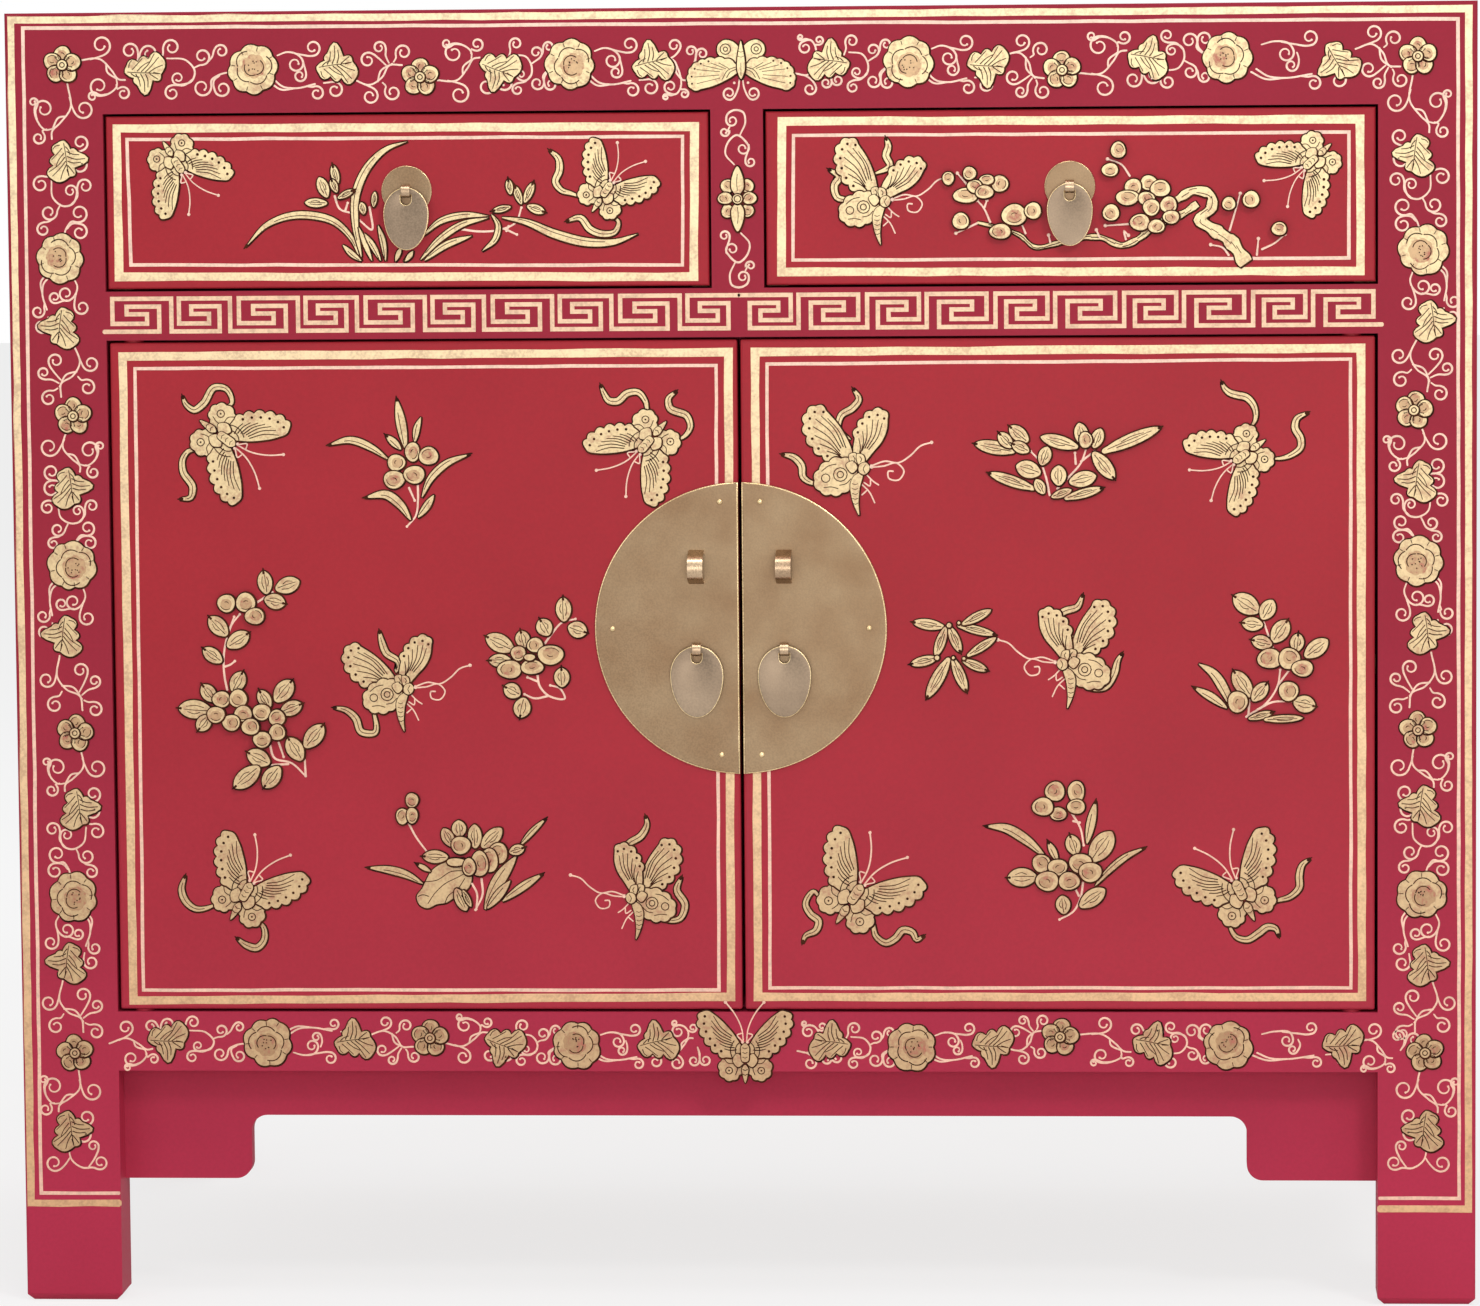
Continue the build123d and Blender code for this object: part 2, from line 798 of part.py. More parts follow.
for hand, side in SIDES.items():
    with BuildPart() as hinge_stile:
        squared(on_side(side, stile_inner, door_outer), door_y, door_z)
        for level in door_z:
            fillet(edges_in(hinge_stile.part, y=door_y[0], z=level), edge_radius)
        fillet(edges_in(hinge_stile.part, x=side * door_outer, y=door_y[0]), edge_radius)
        with BuildSketch(Plane.XY.offset(door_z[0] - pivot_length)):
            with Locations((side * pivot_x, pivot_y)):
                Circle(pivot_radius)
        extrude(amount=door_z[1] - door_z[0] + 2 * pivot_length)
        for rail_z in door_rail_levels.values():
            for tenon in door_rail_tenons(side, rail_z):
                pocket(*tenon)
        pocket(*door_panel_tongue_limits(side))
    save(hinge_stile, f"{hand}_door_hinge_stile")

    with BuildPart() as meeting_stile:
        squared(on_side(side, door_inner, meeting_outer), door_y, door_z)
        for level in door_z:
            fillet(edges_in(meeting_stile.part, y=door_y[0], z=level), edge_radius)
        fillet(edges_in(meeting_stile.part, x=side * door_inner, y=door_y[0]), edge_radius)
        for rail_z in door_rail_levels.values():
            for tenon in door_rail_tenons(side, rail_z):
                pocket(*tenon)
        pocket(*door_panel_tongue_limits(side))
        fitting_holes(side)
    save(meeting_stile, f"{hand}_door_meeting_stile")

    for level, rail_z in door_rail_levels.items():
        with BuildPart() as door_rail:
            squared(on_side(side, meeting_outer, stile_inner), door_y, rail_z)
            outer_z = max(rail_z) if level == "top" else min(rail_z)
            fillet(edges_in(door_rail.part, y=door_y[0], z=outer_z), edge_radius)
            for tenon in door_rail_tenons(side, rail_z):
                squared(*tenon)
            pocket(*door_panel_tongue_limits(side))
        save(door_rail, f"{hand}_door_{level}_rail")

    with BuildPart() as door_panel:
        squared(
            grown(on_side(side, meeting_outer, stile_inner), -joint_play),
            (door_y[0], door_y[0] + door_panel_thickness),
            grown(panel_z, -joint_play),
        )
        squared(*door_panel_tongue_limits(side))
        fitting_holes(side)
    save(door_panel, f"{hand}_door_panel")

    with BuildPart() as lock_plate:
        with BuildSketch(facing(door_y[0])):
            with Locations((0, lock_plate_z)):
                Circle(lock_plate_radius)
            with Locations((side * door_inner, lock_plate_z)):
                Rectangle(
                    2 * lock_plate_radius,
                    2 * lock_plate_radius,
                    align=(Align.MIN if side < 0 else Align.MAX, Align.CENTER),
                    mode=Mode.SUBTRACT,
                )
        extrude(amount=lock_plate_thickness)
        rim = lock_plate.faces().sort_by(Axis.Y)[0].edges().filter_by(GeomType.CIRCLE)
        chamfer(rim, lock_plate_bevel)
        fitting_holes(side)
    save(lock_plate, f"{hand}_door_lock_plate")

    with BuildPart() as plate_nails:
        with BuildSketch(facing(lock_plate_front)):
            with Locations(*nail_places(side)):
                RegularPolygon(nail_head_radius, nail_head_facets)
        extrude(amount=nail_head_height, taper=nail_head_taper)
        for place in nail_places(side):
            squared(*nail_shank(place))
    save(plate_nails, f"{hand}_door_plate_nails")

    with BuildPart() as lock_loop:
        with BuildSketch(Plane.YZ.offset(side * fitting_offset - loop_width / 2)):
            loop_outline(0, Mode.ADD)
            loop_outline(loop_thickness, Mode.SUBTRACT)
        extrude(amount=loop_width)
        loop_x = centred((side * fitting_offset, side * fitting_offset), loop_width)
        for leg_z in loop_legs():
            squared(loop_x, (lock_plate_front, door_y[1] + clinch_thickness), leg_z)
        for outward in (1, -1):
            root = loop_z + outward * (loop_height / 2 - loop_thickness)
            squared(loop_x, (door_y[1], door_y[1] + clinch_thickness), (root, root + outward * clinch_length))
    save(lock_loop, f"{hand}_door_lock_loop")

    with BuildPart() as door_eye:
        eye(side * fitting_offset, door_eye_z, lock_plate_front, door_y[1])
    save(door_eye, f"{hand}_door_pull_eye")

    with BuildPart() as door_tag:
        tag(
            side * fitting_offset,
            lock_plate_front - eye_radius,
            door_eye_z,
            door_tag_width,
            door_tag_length,
            door_tag_shoulder,
        )
    save(door_tag, f"{hand}_door_pull_tag")
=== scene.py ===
import cmath
import math
import random

import bpy
from mathutils import Matrix, Vector


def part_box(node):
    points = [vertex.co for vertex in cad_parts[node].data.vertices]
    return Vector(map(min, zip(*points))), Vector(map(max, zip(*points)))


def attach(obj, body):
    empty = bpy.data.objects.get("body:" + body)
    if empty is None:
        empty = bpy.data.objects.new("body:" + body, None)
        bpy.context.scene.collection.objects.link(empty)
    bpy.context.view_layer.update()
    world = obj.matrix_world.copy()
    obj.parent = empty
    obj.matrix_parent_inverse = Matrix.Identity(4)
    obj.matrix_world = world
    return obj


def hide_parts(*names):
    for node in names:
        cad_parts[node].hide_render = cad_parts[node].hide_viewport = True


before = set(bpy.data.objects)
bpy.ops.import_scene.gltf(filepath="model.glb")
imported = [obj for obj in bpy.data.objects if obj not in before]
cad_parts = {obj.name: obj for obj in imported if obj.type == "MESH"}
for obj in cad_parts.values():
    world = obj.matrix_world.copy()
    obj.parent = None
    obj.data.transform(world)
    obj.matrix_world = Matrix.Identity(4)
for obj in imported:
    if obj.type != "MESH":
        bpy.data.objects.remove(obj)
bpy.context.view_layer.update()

brush = random.Random(8)

# Lengths are written in millimetres and turned to metres where a mesh is made.
MM = 0.001


# ---------------------------------------------------------------- nodes and colours

def linear(colour):
    """An sRGB hex colour as linear red, green, blue and alpha."""
    knee, slope, offset, power = 0.04045, 12.92, 0.055, 2.4
    parts = [int(colour[i:i + 2], 16) / 255 for i in (1, 3, 5)]
    light = [c / slope if c <= knee else ((c + offset) / (1 + offset)) ** power for c in parts]
    return light + [1.0]


def add(tree, kind, inputs=None, **settings):
    """A new node with its settings, and each input as a value or as a link."""
    node = tree.nodes.new(kind)
    for name, value in settings.items():
        setattr(node, name, value)
    for name, value in (inputs or {}).items():
        socket = node.inputs[name]
        if isinstance(value, bpy.types.NodeSocket):
            tree.links.new(value, socket)
        else:
            socket.default_value = value
    return node


def start(name):
    """An empty material, its node tree and the object's own coordinates in metres."""
    material = bpy.data.materials.new(name)
    material.use_nodes = True
    tree = material.node_tree
    tree.nodes.clear()
    place = add(tree, "ShaderNodeTexCoord").outputs["Object"]
    return material, tree, place


def close(tree, shader):
    """Leads the shader to the material's output."""
    add(tree, "ShaderNodeOutputMaterial", {"Surface": shader})


def per_metre(millimetres):
    """The scale at which a noise has features of this size."""
    return 1 / (millimetres * MM)


# ---------------------------------------------------------------- materials

def by_height(tree, place, low, high):
    """How far up the object a point is, from 0 at one height to 1 at another, in millimetres: the mask by
    which light and shade are painted into a colour.
    """
    height = add(tree, "ShaderNodeSeparateXYZ", {"Vector": place})
    return add(tree, "ShaderNodeMapRange", {
        "Value": height.outputs["Z"], "From Min": low * MM, "From Max": high * MM}).outputs["Result"]


def red_lacquer(name, low, high, sheen):
    """Red lacquer, sprayed in many coats over primed wood and rubbed down by hand to a satin sheen:
    a nearly even crimson with soft waves in its gloss. Painted light: it is painted lighter and pinker
    near the floor and darker towards the top, standing in for light and shade. The specks of
    dust in its gloss are drawn coarser than real ones, so that they show."""
    material, tree, place = start(name)
    cloud = add(tree, "ShaderNodeTexNoise", {"Vector": place, "Scale": per_metre(90), "Detail": 3.0})
    speck = add(tree, "ShaderNodeTexNoise", {"Vector": place, "Scale": per_metre(2.2), "Detail": 4.0})
    base = add(tree, "ShaderNodeMixRGB", {
        "Fac": by_height(tree, place, 60, 420), "Color1": linear(low), "Color2": linear(high)})
    drift = add(tree, "ShaderNodeMapRange", {
        "Value": cloud.outputs["Fac"], "From Min": 0.25, "From Max": 0.75, "To Min": 0.95, "To Max": 1.05})
    fleck = add(tree, "ShaderNodeMapRange", {
        "Value": speck.outputs["Fac"], "From Min": 0.3, "From Max": 0.7, "To Min": 0.95, "To Max": 1.05})
    both = add(tree, "ShaderNodeMath", {
        0: drift.outputs["Result"], 1: fleck.outputs["Result"]}, operation="MULTIPLY")
    shade = add(tree, "ShaderNodeVectorMath", {
        0: base.outputs["Color"], "Scale": both.outputs["Value"]}, operation="SCALE")
    rub = add(tree, "ShaderNodeMapRange", {
        "Value": speck.outputs["Fac"], "From Min": 0.3, "From Max": 0.7,
        "To Min": sheen - 0.05, "To Max": sheen + 0.05})
    peel = add(tree, "ShaderNodeTexNoise", {"Vector": place, "Scale": per_metre(7), "Detail": 2.0})
    bump = add(tree, "ShaderNodeBump", {
        "Height": peel.outputs["Fac"], "Strength": 0.12, "Distance": 0.4 * MM})
    fine = add(tree, "ShaderNodeBump", {
        "Height": speck.outputs["Fac"], "Strength": 0.1, "Distance": 0.12 * MM,
        "Normal": bump.outputs["Normal"]})
    shader = add(tree, "ShaderNodeBsdfPrincipled", {
        "Base Color": shade.outputs["Vector"], "Roughness": rub.outputs["Result"], "IOR": 1.5,
        "Specular IOR Level": 0.18, "Normal": fine.outputs["Normal"]})
    close(tree, shader.outputs["BSDF"])
    return material


def oiled_elm(name, along):
    """Northern elm, planed and oiled: bands of early and late wood along the board, with short dark
    pores in them, and the low gloss of rubbed oil. Its pores, 0.3 mm wide, are drawn at 1.1 mm to show."""
    material, tree, place = start(name)
    stretch = [1.0, 1.0, 1.0]
    stretch["xyz".index(along)] = 0.06
    flow = add(tree, "ShaderNodeMapping", {"Vector": place, "Scale": stretch})
    warp = add(tree, "ShaderNodeTexNoise", {
        "Vector": flow.outputs["Vector"], "Scale": per_metre(45), "Detail": 2.0, "Distortion": 0.4})
    ring = add(tree, "ShaderNodeTexNoise", {
        "Vector": flow.outputs["Vector"], "Scale": per_metre(7), "Detail": 5.0, "Distortion": 0.6})
    pore = add(tree, "ShaderNodeTexNoise", {
        "Vector": flow.outputs["Vector"], "Scale": per_metre(1.1), "Detail": 3.0})
    band = add(tree, "ShaderNodeMapRange", {
        "Value": ring.outputs["Fac"], "From Min": 0.36, "From Max": 0.64})
    grain = add(tree, "ShaderNodeMixRGB", {
        "Fac": band.outputs["Result"], "Color1": linear("#8F6238"), "Color2": linear("#C49A68")})
    patch = add(tree, "ShaderNodeMapRange", {
        "Value": warp.outputs["Fac"], "From Min": 0.35, "From Max": 0.7, "To Max": 0.35})
    aged = add(tree, "ShaderNodeMixRGB", {
        "Fac": patch.outputs["Result"], "Color1": grain.outputs["Color"], "Color2": linear("#7A4E2B")})
    dark = add(tree, "ShaderNodeMapRange", {
        "Value": pore.outputs["Fac"], "From Min": 0.58, "From Max": 0.68, "To Max": 0.5})
    wood = add(tree, "ShaderNodeMixRGB", {
        "Fac": dark.outputs["Result"], "Color1": aged.outputs["Color"], "Color2": linear("#4A2D18")})
    ridge = add(tree, "ShaderNodeBump", {
        "Height": pore.outputs["Fac"], "Strength": 0.35, "Distance": 0.25 * MM})
    shader = add(tree, "ShaderNodeBsdfPrincipled", {
        "Base Color": wood.outputs["Color"], "Roughness": 0.55, "IOR": 1.47,
        "Normal": ridge.outputs["Normal"]})
    close(tree, shader.outputs["BSDF"])
    return material


def sheet_brass(name, dull, clear, smooth):
    """Sheet brass, cut, dressed with a file and pickled, then dulled by years of air: a pale brown
    metal with a fine sandy grain, darker in its hollows and clearer where hands rub it. Its brighter
    copy on rims and nail heads is partly rubbed metal and partly a painted highlight, and the lighter
    copy on the loops and eyes is a painted highlight. The grain is
    drawn at 1.1 mm, coarser than the file and the pickle leave it, so that it shows."""
    material, tree, place = start(name)
    tarnish = add(tree, "ShaderNodeTexNoise", {"Vector": place, "Scale": per_metre(30), "Detail": 4.0})
    grit = add(tree, "ShaderNodeTexNoise", {"Vector": place, "Scale": per_metre(1.1), "Detail": 2.0})
    veil = add(tree, "ShaderNodeMapRange", {
        "Value": tarnish.outputs["Fac"], "From Min": 0.3, "From Max": 0.7})
    metal = add(tree, "ShaderNodeMixRGB", {
        "Fac": veil.outputs["Result"], "Color1": linear(dull), "Color2": linear(clear)})
    sand = add(tree, "ShaderNodeMapRange", {
        "Value": grit.outputs["Fac"], "From Min": 0.35, "From Max": 0.65, "To Min": 0.84, "To Max": 1.14})
    tone = add(tree, "ShaderNodeVectorMath", {
        0: metal.outputs["Color"], "Scale": sand.outputs["Result"]}, operation="SCALE")
    worn = add(tree, "ShaderNodeMapRange", {
        "Value": grit.outputs["Fac"], "From Min": 0.3, "From Max": 0.7,
        "To Min": smooth - 0.06, "To Max": smooth + 0.08})
    grain = add(tree, "ShaderNodeBump", {
        "Height": grit.outputs["Fac"], "Strength": 0.3, "Distance": 0.15 * MM})
    shader = add(tree, "ShaderNodeBsdfPrincipled", {
        "Base Color": tone.outputs["Vector"], "Metallic": 1.0, "Roughness": worn.outputs["Result"],
        "Normal": grain.outputs["Normal"]})
    close(tree, shader.outputs["BSDF"])
    return material


def gold_paint(name, low, high, metallic, worn):
    """Bronze-powder paint, brushed over the lacquer: a pale gold, with small stipples where the brush lifted
    and the red shows through. Painted light: it runs from a browner, darker colour low down to a paler one
    at the top, standing in for the light that falls on it from above."""
    material, tree, place = start(name)
    stipple = add(tree, "ShaderNodeTexNoise", {"Vector": place, "Scale": per_metre(1.8), "Detail": 3.0})
    wash = add(tree, "ShaderNodeTexNoise", {"Vector": place, "Scale": per_metre(11), "Detail": 2.0})
    base = add(tree, "ShaderNodeMixRGB", {
        "Fac": by_height(tree, place, 120, 780), "Color1": linear(low), "Color2": linear(high)})
    both = add(tree, "ShaderNodeMath", {
        0: stipple.outputs["Fac"], 1: wash.outputs["Fac"]}, operation="ADD")
    thin = add(tree, "ShaderNodeMapRange", {
        "Value": both.outputs["Value"], "From Min": 0.8, "From Max": 1.25, "To Min": 1.06, "To Max": 0.82})
    tint = add(tree, "ShaderNodeVectorMath", {
        0: base.outputs["Color"], "Scale": thin.outputs["Result"]}, operation="SCALE")
    bare = add(tree, "ShaderNodeMapRange", {
        "Value": both.outputs["Value"], "From Min": 1.0, "From Max": 1.3, "To Max": worn})
    shown = add(tree, "ShaderNodeMixRGB", {
        "Fac": bare.outputs["Result"], "Color1": tint.outputs["Vector"], "Color2": linear("#B8695A")})
    lift = add(tree, "ShaderNodeBump", {
        "Height": stipple.outputs["Fac"], "Strength": 0.2, "Distance": 0.12 * MM})
    shader = add(tree, "ShaderNodeBsdfPrincipled", {
        "Base Color": shown.outputs["Color"], "Metallic": metallic, "Roughness": 0.45,
        "Specular IOR Level": 0.3, "Normal": lift.outputs["Normal"]})
    close(tree, shader.outputs["BSDF"])
    return material


def ink_line():
    """Umber lacquer, drawn with a fine hair brush: nearly black brown, matt, a little thinner in places."""
    material, tree, place = start("umber_lacquer_line")
    flow = add(tree, "ShaderNodeTexNoise", {"Vector": place, "Scale": per_metre(5), "Detail": 2.0})
    load = add(tree, "ShaderNodeMapRange", {
        "Value": flow.outputs["Fac"], "From Min": 0.35, "From Max": 0.65})
    tint = add(tree, "ShaderNodeMixRGB", {
        "Fac": load.outputs["Result"], "Color1": linear("#2A1008"), "Color2": linear("#4A2412")})
    shader = add(tree, "ShaderNodeBsdfPrincipled", {
        "Base Color": tint.outputs["Color"], "Roughness": 0.7, "IOR": 1.5, "Specular IOR Level": 0.1})
    close(tree, shader.outputs["BSDF"])
    return material


# Both reds are painted lighter and pinker near the floor and darker at the top: painted light.
door_red = red_lacquer("sprayed_red_lacquer", "#B02E43", "#A62832", 0.48)
# The frame has its own copy of the red: more crimson than the doors', and changing more from floor to top.
frame_red = red_lacquer("frame_crimson_lacquer", "#B42E4A", "#9B2538", 0.58)
elm = {axis: oiled_elm("oiled_elm_along_" + axis, axis) for axis in "xyz"}
brass = sheet_brass("pickled_sheet_brass", "#83694F", "#917A5F", 0.42)
tag_brass = sheet_brass("tumbled_sheet_brass", "#7E6C5A", "#8E7B67", 0.4)
# A brighter copy for filed rims and nail heads: partly metal rubbed bright, partly a painted highlight.
rubbed_brass = sheet_brass("rubbed_and_highlit_sheet_brass", "#D9BC8C", "#F0D6A6", 0.26)
# A lighter brass for the loops and eyes, standing in for the highlights along them: painted highlight.
strap_brass = sheet_brass("highlit_brass_strap", "#B4977A", "#CDB292", 0.3)

grain_of = {
    "back_middle_rail": "x", "back_panel": "z", "bottom_board": "x", "shelf": "x",
    "drawer_side_runners": "y", "drawer_centre_runner": "y"}
for name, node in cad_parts.items():
    end = name.split("_")[-1]
    if name in grain_of:
        finish = elm[grain_of[name]]
    elif "drawer" in name and end in ("side", "bottom", "back"):
        finish = elm["y" if end == "side" else "x"]
    elif end in ("plate", "nails", "loop", "eye", "tag"):
        # Loops and eyes take the lighter brass: painted highlight.
        finish = strap_brass if end in ("loop", "eye") else brass
    elif "door" in name or name.endswith("drawer_front"):
        finish = door_red
    else:
        finish = frame_red
    node.data.materials.clear()
    node.data.materials.append(finish)


# ---------------------------------------------------------------- meshes

def mesh_piece(name, points, faces, finishes, indices, body):
    """A piece from points in millimetres, on its body and with its slot."""
    mesh = bpy.data.meshes.new(name)
    mesh.from_pydata([[c * MM for c in p] for p in points], [], faces)
    for finish in finishes:
        mesh.materials.append(finish)
    mesh.polygons.foreach_set("material_index", indices)
    piece = bpy.data.objects.new(name, mesh)
    bpy.context.scene.collection.objects.link(piece)
    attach(piece, body)
    return piece


def corners(node):
    """Lowest and highest corner of a node, in millimetres."""
    low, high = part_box(node)
    return low / MM, high / MM


def lacquer_skin(name, xs, zs, filled, front, finish, body):
    """The lacquer over joined pieces of wood: one thin sheet over the filled cells of a grid, so that no
    joint shows through it. Cells are counted from the left and from the floor."""
    points, index, faces = [], {}, []

    def point(i, j, depth):
        key = (i, j, depth)
        if key not in index:
            index[key] = len(points)
            points.append((xs[i], front + (skin_sink, -skin)[depth], zs[j]))
        return index[key]

    for i, j in filled:
        ring = [(i, j), (i + 1, j), (i + 1, j + 1), (i, j + 1)]
        faces.append([point(a, b, 1) for a, b in ring])
        faces.append([point(a, b, 0) for a, b in reversed(ring)])
        beside = [(i, j - 1), (i + 1, j), (i, j + 1), (i - 1, j)]
        for number, other in enumerate(beside):
            if other not in filled:
                (a, b), (c, d) = ring[number], ring[(number + 1) % 4]
                faces.append([point(a, b, 0), point(c, d, 0), point(c, d, 1), point(a, b, 1)])
    return mesh_piece(name, points, faces, [finish], [0] * len(faces), body)


# The lacquer stands this far proud of the wood, and its back lies this deep in it. It ends short of the
# rounded arrises and of the rounded feet.
skin = 0.2
skin_sink = 0.1
arris = 1.6
foot = 4.5

case_low, case_high = corners("front_left_post")
stile_low, stile_high = corners("left_door_meeting_stile")
door_gap = 1.5
case_front = case_low.y
post_inner = case_high.x
half_case = -case_low.x
top = case_high.z
half_divider = corners("drawer_divider")[1].x
rail_floor = corners("front_bottom_rail")[0].z
door_floor = stile_low.z - door_gap
door_head = stile_high.z + door_gap
drawer_floor = corners("fret_rail")[1].z
drawer_head = corners("front_top_rail")[0].z

# The case's front is five cells wide and six high: its posts are the outer columns, its rails every
# second row, and its divider the middle cell of the drawers' row.
case_xs = [arris - half_case, post_inner, -half_divider, half_divider, -post_inner, half_case - arris]
case_zs = [foot, rail_floor, door_floor, door_head, drawer_floor, drawer_head, top - arris]
posts, rails, divider = (0, 4), (1, 3, 5), (2, 4)
case_cells = [(i, j) for i in range(5) for j in range(6) if i in posts or j in rails or (i, j) == divider]
lacquer_skin("case_front_lacquer", case_xs, case_zs, case_cells, case_front, frame_red, "carcass")

door_front = corners("left_door_panel")[0].y
for hand in ("left", "right"):
    low, high = corners(hand + "_door_hinge_stile")
    far, near = corners(hand + "_door_meeting_stile")
    xs = [min(low.x, far.x) + arris, max(high.x, near.x) - arris]
    zs = [far.z + arris, near.z - arris]
    lacquer_skin(hand + "_door_lacquer", xs, zs, [(0, 0)], door_front, door_red, hand + "_door")


# ---------------------------------------------------------------- brushwork

# Places on a front are complex numbers in millimetres: x to the right, and z up as the imaginary part.
GOLD, THIN, INK, VINE, BAND, FRET = range(6)

# A coat of paint adds this to the height. The first one lies at the bed, and every one goes down into
# the lacquer by the sink. The dark line under a shape is shifted, so that it is heavier on one side.
coat = 0.016
bed = 0.04
sink = 0.05
shade_shift = complex(0.18, -0.22)

# Of a stroke: places nearer to each other than this are one, its flat top has this share of its width,
# its ends run on by this share of it, its mitre is never sharper than this, and it counts as turned back
# where its two unit headings add up to less than this.
merge = 0.03
crown = 0.7
run_on = 0.5
least_mitre = 0.6
turned_back = 0.3


def curve(points, closed=False, step=1.3):
    """A smooth line through points, as places about one step apart."""
    knots = [complex(*p) if isinstance(p, tuple) else p for p in points]
    count = len(knots)

    def knot(number):
        return knots[number % count] if closed else knots[max(0, min(number, count - 1))]

    def heading(number):
        into, out = knot(number) - knot(number - 1), knot(number + 1) - knot(number)
        if not abs(into) or not abs(out):
            return (into + out) / abs(into + out)
        return (into / abs(into) * abs(out) + out / abs(out) * abs(into)) / (abs(into) + abs(out))

    line = []
    for number in range(count if closed else count - 1):
        begin, end = knot(number), knot(number + 1)
        length = abs(end - begin)
        leave, arrive = heading(number) * length, heading(number + 1) * length
        steps = max(1, math.ceil(length / step))
        for t in (s / steps for s in range(steps)):
            line.append(begin * (2 * t**3 - 3 * t**2 + 1) + leave * (t**3 - 2 * t**2 + t)
                        + end * (3 * t**2 - 2 * t**3) + arrive * (t**3 - t**2))
    return line if closed else line + [knots[-1]]


def place(points, at=0, turn=0.0, size=1.0, flip=1):
    """Points moved to a place, after a turn in degrees, a change of size and a flip across their x axis."""
    spin = size * cmath.exp(1j * math.radians(turn))
    places = [complex(*p) if isinstance(p, tuple) else p for p in points]
    return [at + spin * complex(p.real, flip * p.imag) for p in places]


def bow(begin, end, rise, steps=6):
    """An arc from one place to another that bulges to the right of the way it goes."""
    chord = end - begin
    shares = [s / steps for s in range(steps)]
    return [begin + chord * t - 1j * chord * rise * 4 * t * (1 - t) for t in shares]


def scalloped(notches, rise=0.3, steps=6):
    """A closed outline of arcs between notches. A notch may carry its own rise as a third number."""
    places = [complex(*n[:2]) for n in notches]
    rises = [n[2] if len(n) > 2 else rise for n in notches]
    return [p for k, begin in enumerate(places)
            for p in bow(begin, places[(k + 1) % len(places)], rises[k], steps)]


def circled(line):
    """A closed line in counter-clockwise order."""
    area = sum((p.conjugate() * line[k - 1]).imag for k, p in enumerate(line))
    return line if area < 0 else line[::-1]


def grow(line, by):
    """A closed counter-clockwise line moved outwards."""
    out = []
    for k, p in enumerate(line):
        run = line[(k + 1) % len(line)] - line[k - 1]
        out.append(p - 1j * by * run / abs(run) if abs(run) else p)
    return out


class Paint:
    """The paint on one flat front, laid in coats that each stand a little higher than the last."""

    def __init__(self, front):
        self.front, self.height = front, bed
        self.points, self.faces, self.finish = [], [], []

    def ring(self, line, height):
        """Places at one height over the front, kept as points. It gives their numbers."""
        begin = len(self.points)
        self.points += [(p.real, self.front - height, p.imag) for p in line]
        return list(range(begin, len(self.points)))

    def add_faces(self, faces, finish):
        """Keeps faces of one finish."""
        self.faces += faces
        self.finish += [finish] * len(faces)

    def slab(self, line, slope, finish):
        """A filled outline with sloping edges."""
        base = self.ring(line, -sink)
        rim = self.ring(grow(line, -slope), self.height)
        walls = [[base[k - 1], base[k], rim[k], rim[k - 1]] for k in range(len(line))]
        self.add_faces(walls + [rim, base[::-1]], finish)

    def shape(self, outline, edge=0.9, finish=GOLD):
        """A filled outline with the dark line that is drawn round it, heavier below and to the right."""
        line = circled(outline)
        ink_slope, paint_slope = 0.08, 0.14
        self.height += coat
        self.slab([p + shade_shift for p in grow(line, edge)], ink_slope, INK)
        self.height += coat
        self.slab(line, paint_slope, finish)

    def dot(self, at, radius, finish=INK, sides=10):
        """A round touch of the brush."""
        self.height += coat
        around = [at + cmath.rect(radius, 2 * math.pi * k / sides) for k in range(sides)]
        self.slab(around, radius / 4, finish)

    def stroke(self, line, width, finish=VINE, closed=False):
        """One pull of the brush. The width is a number, or a function of how far along the line it is."""
        self.height += coat
        line = [p for k, p in enumerate(line) if not k or abs(p - line[k - 1]) > merge]
        last = len(line) - 1
        wide = width if callable(width) else lambda t: width
        rows = []
        for k, p in enumerate(line):
            into = p - line[k - 1] if closed or k else line[1] - p
            out = line[(k + 1) % len(line)] - p if closed or k < last else p - line[k - 1]
            into, out = into / abs(into), out / abs(out)
            along = into + out if abs(into + out) > turned_back else into
            along /= abs(along)
            mitre = max(least_mitre, (along.conjugate() * into).real)
            rows.append((p, along, wide(k / last) / 2 / mitre))
        if not closed:
            (first, ahead, half), (final, onward, thin) = rows[0], rows[-1]
            rows.insert(0, (first - ahead * half * run_on, ahead, half * run_on))
            rows.append((final + onward * thin * run_on, onward, thin * run_on))
        rings = []
        for p, along, half in rows:
            side = 1j * along * half
            left_foot = self.ring([p + side], -sink)
            flat = self.ring([p + side * crown, p - side * crown], self.height)
            rings.append(left_foot + flat + self.ring([p - side], -sink))
        faces = [] if closed else [rings[0][::-1], rings[-1]]
        for ring, after in zip(rings, rings[1:] + rings[:1] * closed):
            faces += [[ring[j], ring[(j + 1) % 4], after[(j + 1) % 4], after[j]] for j in range(4)]
        self.add_faces(faces, finish)

    def settle(self):
        """The next motif starts again on the bare lacquer."""
        self.height = bed

    def piece(self, name, body):
        """Everything painted so far, as one piece on a body."""
        finishes = [gold_leaf, thin_gold, dark_ink, pale_vine, pale_band, pale_fret]
        return mesh_piece(name, self.points, self.faces, finishes, self.finish, body)


